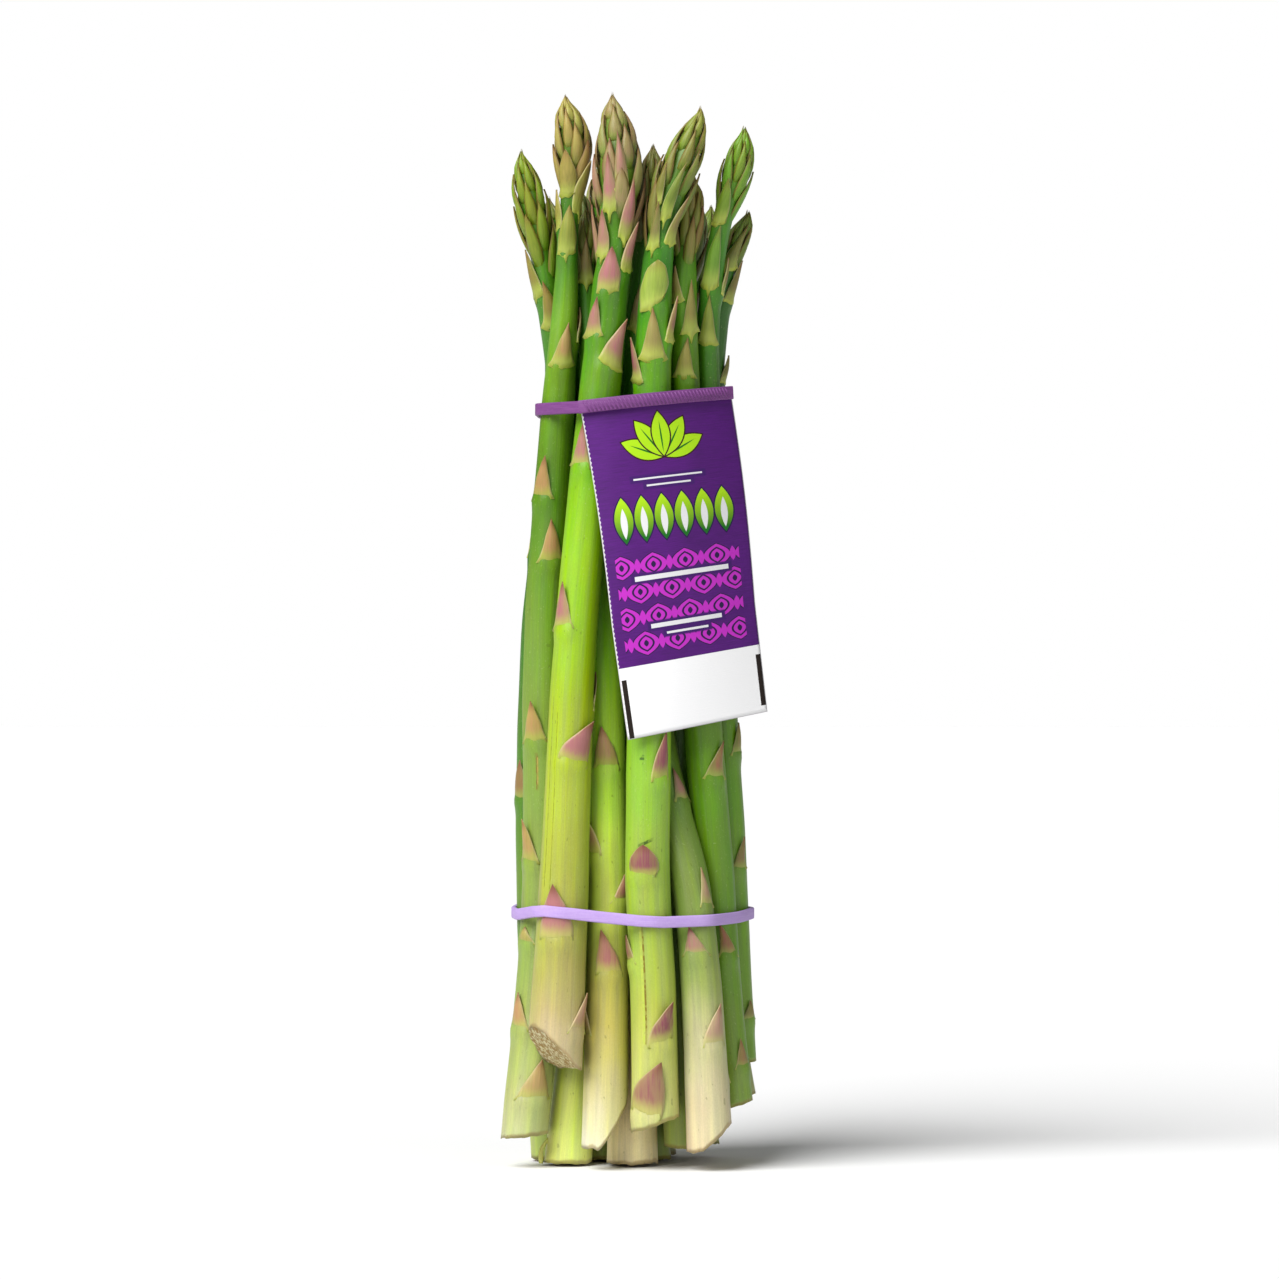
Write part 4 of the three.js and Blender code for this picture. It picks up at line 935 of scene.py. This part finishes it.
def band_mask(value, start, end, soft=0.05):
    """1 between start and end, 0 outside, with edges that soft."""
    return ((value - start) / soft).clamped() * ((end - value) / soft).clamped()


def petal_mask(x, y, half_long, half_wide, soft=0.06):
    """1 inside a petal with pointed ends along y, around its middle."""
    reach = y / half_long
    width = (1 - reach * reach).math("MAXIMUM", 0) * half_wide
    return ((width - x.math("ABSOLUTE")) / soft).clamped()


def turned(x, y, centre, degrees):
    """Places counted from a centre, in axes turned by some degrees."""
    cosine, sine = math.cos(math.radians(degrees)), math.sin(math.radians(degrees))
    from_x, from_y = x - centre[0], y - centre[1]
    return from_x * cosine + from_y * sine, from_y * cosine - from_x * sine


def tag_finish():
    """Purple print of leaf shapes, rules and rows of petals, over a white panel with two edge bars.

    Places on it are in mm from its upper left corner.
    """
    material, tree, skin = new_material("tag_print")
    place = attribute(tree, "print_place", "Vector")
    x, y, side = parts_of(tree, place)

    threads = grain(tree, place, (0.05, 1, 1), 5, 3, 0.7)
    cloud = grain(tree, place, (1, 1, 1), 0.12, 2)
    colour = shifted(tree, linear(96, 26, 128), 0.5, 1, 1 + (threads - 0.5) * 1.1 + (cloud - 0.5) * 0.5)
    purple, deep, magenta = linear(80, 24, 116), linear(58, 20, 84), linear(208, 64, 208)
    lime, green, white = linear(188, 240, 44), linear(30, 124, 50), linear(246, 246, 248)
    bare_card = (0.74, 0.74, 0.745, 1)

    cell_wide, row_high, rows_from = 6.9, 5.05, 30.6
    row = (y - rows_from) / row_high
    slide = (row.math("FLOOR") * 0.5).math("FRACT")
    petal_x = ((x / cell_wide + slide).math("FRACT") - 0.5) * cell_wide
    petal_y = (row.math("FRACT") - 0.5) * row_high
    field = band_mask(y, rows_from, rows_from + 4 * row_high) * band_mask(x, 2.2, TAG_WIDE - 2.6)
    for half_long, half_wide, tint in ((2.5, 3.2, deep), (2.3, 2.9, magenta), (1.7, 1.85, deep),
                                       (1.35, 1.4, magenta), (0.7, 0.55, deep)):
        colour = mixed(tree, field * petal_mask(petal_x, petal_y, half_long, half_wide), colour, tint)
    for side_step in (-0.5, 0.5):
        beside = petal_mask(petal_x - side_step * cell_wide, petal_y, 1.5, 0.7)
        colour = mixed(tree, field * beside, colour, magenta)

    for turn in (-66, 66, -33, 33, 0):
        lean = math.radians(turn)
        centre = (15.6 + 4.8 * math.sin(lean), 12.4 - 4.8 * math.cos(lean))
        leaf_x, leaf_y = turned(x, y, centre, turn)
        colour = mixed(tree, petal_mask(leaf_x, leaf_y, 4.9, 2.15), colour, linear(70, 34, 40))
        colour = mixed(tree, petal_mask(leaf_x, leaf_y, 4.5, 1.85), colour, lime)
        colour = mixed(tree, petal_mask(leaf_x, leaf_y - 0.6, 3.5, 0.2), colour, green)

    for k in range(6):
        centre_x = 5.2 + 4.3 * k
        fade = ((y - 20.4) / 7.2).clamped()
        leaf = mixed(tree, fade, lime, green)
        colour = mixed(tree, petal_mask(x - centre_x, y - 24, 5.0, 2.3), colour, deep)
        colour = mixed(tree, petal_mask(x - centre_x, y - 24, 4.6, 2.0), colour, leaf)
        colour = mixed(tree, petal_mask(x - centre_x, y - 24.6, 3.1, 0.75), colour, white)

    for start, end, level, thick in ((8.4, 23.0, 16.2, 0.4), (11.0, 20.4, 17.6, 0.4), (6.0, 26.4, 35.65, 1.0),
                                     (8.4, 24.0, 45.2, 0.9), (11.6, 20.8, 46.9, 0.5)):
        top, foot = level - thick / 2, level + thick / 2
        margin = band_mask(x, start - 0.9, end + 0.9, 0.3) * band_mask(y, top - 0.7, foot + 0.7, 0.3)
        colour = mixed(tree, margin, colour, purple)
        colour = mixed(tree, band_mask(x, start, end) * band_mask(y, top, foot), colour, white)

    panel = ((y - PANEL_FROM) / 0.05).clamped()
    colour = mixed(tree, panel, colour, bare_card)
    left_bar = band_mask(x, 0.35, 1.5) * band_mask(y, 54.6, 66.5)
    right_bar = band_mask(x, TAG_WIDE - 1.25, TAG_WIDE - 0.1) * band_mask(y, 54.2, 64.6)
    colour = mixed(tree, left_bar + right_bar, colour, linear(56, 50, 46))
    teeth = ((y * 1.1).math("FRACT") - 0.5).math("ABSOLUTE") * 0.5 + 0.12
    trimmed = band_mask(x, -1, TAG_WIDE - 0.12) * band_mask(y, -1, TAG_LONG - 0.12)
    cut_edge = 1 - ((x - teeth) / 0.05).clamped() * trimmed
    front = ((side - 0.97) * 40).clamped()
    colour = mixed(tree, (1 - front) + cut_edge, colour, linear(236, 232, 236))
    coat(tree, skin, colour, 0.4 + threads * 0.16, 0.25, threads, 0.25, 0.12)
    return material


tag = tag_mesh(columns=48, rows=80)
tag.materials.append(tag_finish())
shown("label_dressed", tag, "tag", "label")


# Upper band
# A purple elastic band drawn tight round the upper stems. In front it is moulded into a thicker ribbed strip
# that holds the tag's top edge.

UPPER_WIDE = 2.5
UPPER_THICK = 0.9
STRIP_WIDE = 2.7
STRIP_THICK = 1.2
STRIP_SHORT = 0.01  # how far the strip stops short of the tag's edges, as a share of its width
STRIP_GAP = 0.05  # mm between the tag and the strip in front of it
RIB_STEP = 0.8
RIB_PROUD = 0.22
RIB_SLANT = -0.6
BAND_AIR = 0.35  # mm between a band and the stems
LOOP_STEP = 0.8  # mm between the points of a band's path


def stem_outlines(height, away):
    """Points round every stem at one height, that far outside it, in mm."""
    turns = np.radians(np.arange(0, 360, 10))
    points = []
    for line in lines.values():
        x, y, radius = (np.interp(height, line[:, 2], line[:, k]) for k in (0, 1, 3))
        reach = radius + away
        points += [(x + reach * math.cos(turn), y + reach * math.sin(turn)) for turn in turns]
    return points


def tight_loop(points):
    """The outline of a band drawn tight round all the points, straight from stem to stem."""
    def chain(ordered):
        hull = []
        for point in ordered:
            while len(hull) > 1:
                (ax, ay), (bx, by) = hull[-2:]
                if (bx - ax) * (point[1] - ay) - (by - ay) * (point[0] - ax) > 1e-9:
                    break
                hull.pop()
            hull.append(point)
        return hull[:-1]
    ordered = sorted(points)
    return np.array(chain(ordered) + chain(ordered[::-1]))


def spaced_loop(loop, step):
    """The same loop with its points a step apart and its corners eased."""
    closed = np.vstack([loop, loop[:1]])
    run = np.concatenate([[0], np.cumsum(np.hypot(*np.diff(closed, axis=0).T))])
    places = np.linspace(0, run[-1], int(run[-1] / step), endpoint=False)
    even = np.column_stack([np.interp(places, run, closed[:, k]) for k in (0, 1)])
    for _ in range(2):
        even = (np.roll(even, 1, 0) + 2 * even + np.roll(even, -1, 0)) / 4
    return even


def path_object(name, points, closed):
    """Points in mm as a chain of edges."""
    count = len(points)
    edges = [(k, (k + 1) % count) for k in range(count if closed else count - 1)]
    mesh = bpy.data.meshes.new(name)
    mesh.from_pydata((np.array(points) * MM).tolist(), edges, [])
    return bpy.data.objects.new(name, mesh)


def band_tree():
    """Geometry nodes that sweep a flat rounded section round a loop, and a thick ribbed one along a strip."""
    tree, sockets, given = new_tree(
        "Band round a loop", Object=["Strip"],
        Float=["Width", "Thickness", "Strip Width", "Strip Thickness", "Corner", "Rib Step", "Rib Proud",
               "Rib Slant"])

    def as_curve(geometry):
        curve = add_node(tree, "GeometryNodeMeshToCurve", Mesh=geometry).outputs[0]
        upright = add_node(tree, "GeometryNodeSetCurveNormal", {"mode": "Z_UP"}, Curve=curve)
        run = tree.nodes.new("GeometryNodeSplineParameter").outputs["Length"]
        return add_node(tree, "GeometryNodeStoreNamedAttribute", {"data_type": "FLOAT", "domain": "POINT"},
                        Geometry=upright.outputs[0], Name="run", Value=run).outputs[0]

    def swept(curve, thickness, width):
        section = add_node(tree, "GeometryNodeCurvePrimitiveQuadrilateral", Width=given[thickness],
                           Height=given[width])
        rounded = add_node(tree, "GeometryNodeFilletCurve", {"mode": "POLY"}, Curve=section.outputs[0],
                           Radius=given["Corner"], Count=3)
        return add_node(tree, "GeometryNodeCurveToMesh", Curve=curve, Profile_Curve=rounded.outputs[0],
                        Fill_Caps=True).outputs[0]

    strip = add_node(tree, "GeometryNodeObjectInfo", Object=given["Strip"])
    strip_curve = as_curve(strip.outputs["Geometry"])
    dots = add_node(tree, "GeometryNodeResampleCurve", {"mode": "LENGTH"}, Curve=strip_curve,
                    Length=given["Rib Step"])
    east, north, _ = parts_of(tree, tree.nodes.new("GeometryNodeInputTangent").outputs[0])
    heading = north.math("ARCTAN2", east)
    aim = add_node(tree, "ShaderNodeCombineXYZ", Y=given["Rib Slant"], Z=heading)
    rib_size = add_node(tree, "ShaderNodeCombineXYZ", X=Field(tree, given["Rib Step"]) * 0.45,
                        Y=given["Rib Proud"], Z=Field(tree, given["Strip Width"]) * 0.92)
    rib = add_node(tree, "GeometryNodeMeshCube", Size=rib_size.outputs[0])
    outside = add_node(tree, "ShaderNodeCombineXYZ", Y=Field(tree, given["Strip Thickness"]) * -0.5)
    placed = add_node(tree, "GeometryNodeTransform", Geometry=rib.outputs[0], Translation=outside.outputs[0])
    share = Field(tree, tree.nodes.new("GeometryNodeSplineParameter").outputs["Factor"])
    off_ends = (share - 0.5).math("ABSOLUTE").math("LESS_THAN", 0.475)
    ribs = add_node(tree, "GeometryNodeInstanceOnPoints", Points=dots.outputs[0], Instance=placed.outputs[0],
                    Rotation=aim.outputs[0], Selection=off_ends)
    closed_tree(tree, [ribs.outputs[0], swept(strip_curve, "Strip Thickness", "Strip Width"),
                       swept(as_curve(given["Geometry"]), "Thickness", "Width")], given["Finish"])
    return tree, sockets


def band_finish(name, deep, light, roughness):
    """Rubber: one colour, a little cloudy, with fine lines drawn out along the stretch."""
    material, tree, skin = new_material(name)
    place = add_node(tree, "ShaderNodeTexCoord").outputs["Object"]
    run = Field(tree, attribute(tree, "run"))
    drawn = add_node(tree, "ShaderNodeCombineXYZ", X=run * 0.06, Y=parts_of(tree, place)[2])
    lines_along = grain(tree, drawn.outputs[0], (1, 1, 1), 3200, 3, 0.6)
    dust = grain(tree, place, (1, 1, 1), 2400, 3, 0.7)
    share = (lines_along * 0.8 + dust * 0.5 - 0.25).clamped()
    colour = mixed(tree, share, linear(*deep), linear(*light))
    coat(tree, skin, colour, roughness + dust * 0.2, 0.35, lines_along + dust * 0.6, 0.4, 0.1)
    return material


strip_edge = []
for share in np.linspace(STRIP_SHORT, 1 - STRIP_SHORT, 40):
    point = tag_point(share, 0) + tag_outward(share, 0) * (TAG_THICK / 2 + STRIP_GAP + STRIP_THICK / 2)
    strip_edge.append((point[0], point[1], upper_height(point[0])))
outlines = stem_outlines(UPPER_HEIGHT, BAND_AIR + UPPER_THICK / 2)
loop = spaced_loop(tight_loop(outlines + [tuple(point[:2]) for point in strip_edge]), LOOP_STEP)
upper_loop = path_object("upper_loop", [(x, y, upper_height(x)) for x, y in loop], True)
tree, sockets = band_tree()
mesh = grown(upper_loop, tree, sockets, Strip=path_object("strip_path", strip_edge, False),
             Width=UPPER_WIDE * MM, Thickness=UPPER_THICK * MM, Corner=0.25 * MM,
             Strip_Width=STRIP_WIDE * MM, Strip_Thickness=STRIP_THICK * MM,
             Rib_Step=RIB_STEP * MM, Rib_Proud=RIB_PROUD * MM, Rib_Slant=RIB_SLANT,
             Finish=band_finish("upper_rubber", (112, 62, 124), (166, 104, 172), 0.42))
mesh.shade_smooth()
shown("upper_band_dressed", mesh, "elastic", "upper_band")


# Lower band
# A plain lavender rubber band, cut flat from a tube and stretched round the lower stems. It sags a little
# from left to right and has one kink near its left end.

LOWER_WIDE = 2.35
LOWER_THICK = 0.95
LOWER_HEIGHT = 51.5  # of its middle behind the bundle
# The x and height of its middle in front
LOWER_HEIGHTS = [(-25, 51.2), (-20.6, 52.6), (-18.4, 52.9), (-13, 52.4), (-7, 51.7), (1, 50.9), (6, 50.6),
                 (25, 51.0)]

lower_path = []
for x, y in spaced_loop(tight_loop(stem_outlines(LOWER_HEIGHT, BAND_AIR + LOWER_THICK / 2)), LOOP_STEP):
    in_front = 0.5 - 0.5 * math.tanh((y + 2) / 6)
    off_level = np.interp(x, *zip(*LOWER_HEIGHTS)) - LOWER_HEIGHT
    lower_path.append((x, y, LOWER_HEIGHT + off_level * in_front))
lower_loop = path_object("lower_loop", lower_path, True)
mesh = grown(lower_loop, tree, sockets, Width=LOWER_WIDE * MM, Thickness=LOWER_THICK * MM, Corner=0.3 * MM,
             Finish=band_finish("lower_rubber", (190, 156, 233), (230, 203, 253), 0.55))
mesh.shade_smooth()
shown("lower_band_dressed", mesh, "rubber", "lower_band")


# The room
# A pale floor and soft white light from the upper left, with the camera straight in front and far off.

PIXEL = 0.205  # mm of the bundle's front to one pixel of the photograph
PHOTO_SIDE = 1279
CAMERA_AWAY = 1.2
CAMERA_PLACE = (0.0010, 0.1081)  # x and height of the frame's middle, in metres
FRONT = -0.012  # the plane at which the frame's width is measured
SENSOR = 36
FLOOR_HALF = 6
FLOOR_LEVEL = -0.0004  # just under the lowest cut ends
WHITE_AROUND = 0.2  # how strongly the white surroundings light the bundle

scene = bpy.context.scene
floor_mesh = bpy.data.meshes.new("floor")
corners = [(x * FLOOR_HALF, y * FLOOR_HALF, FLOOR_LEVEL) for x, y in ((-1, -1), (1, -1), (1, 1), (-1, 1))]
floor_mesh.from_pydata(corners, [], [(0, 1, 2, 3)])
floor = bpy.data.objects.new("floor", floor_mesh)
scene.collection.objects.link(floor)
paint, _, paint_skin = new_material("floor_paint")
paint_skin.inputs["Base Color"].default_value = (0.8, 0.8, 0.8, 1)
paint_skin.inputs["Roughness"].default_value = 0.9
floor_mesh.materials.append(paint)

world = bpy.data.worlds.new("studio")
world.use_nodes = True
sky = world.node_tree.nodes["Background"]
sky.inputs["Color"].default_value = (1, 1, 1, 1)
seen = Field(world.node_tree, world.node_tree.nodes.new("ShaderNodeLightPath").outputs["Is Camera Ray"])
plug(world.node_tree, WHITE_AROUND + seen * (1 - WHITE_AROUND), sky.inputs["Strength"])
scene.world = world


def sun(name, turn, lift, softness, power):
    """A broad soft light from far off, turned from the front towards the right, and lifted, in degrees."""
    light = bpy.data.lights.new(name, "SUN")
    light.angle = math.radians(softness)
    light.energy = power
    made = bpy.data.objects.new(name, light)
    made.rotation_euler = (math.radians(90 - lift), 0, math.radians(turn))
    scene.collection.objects.link(made)


sun("key", -40, 43, 45, 5.0)
sun("fill", 38, 14, 60, 0.5)

camera_data = bpy.data.cameras.new("camera")
camera_data.sensor_width = SENSOR
camera_data.lens = SENSOR * (CAMERA_AWAY + FRONT) / (PHOTO_SIDE * PIXEL * MM)
camera_data.clip_end = 50
camera = bpy.data.objects.new("camera", camera_data)
camera.location = (CAMERA_PLACE[0], -CAMERA_AWAY, CAMERA_PLACE[1])
camera.rotation_euler = (math.pi / 2, 0, 0)
scene.collection.objects.link(camera)
scene.camera = camera
scene.view_settings.view_transform = "Standard"
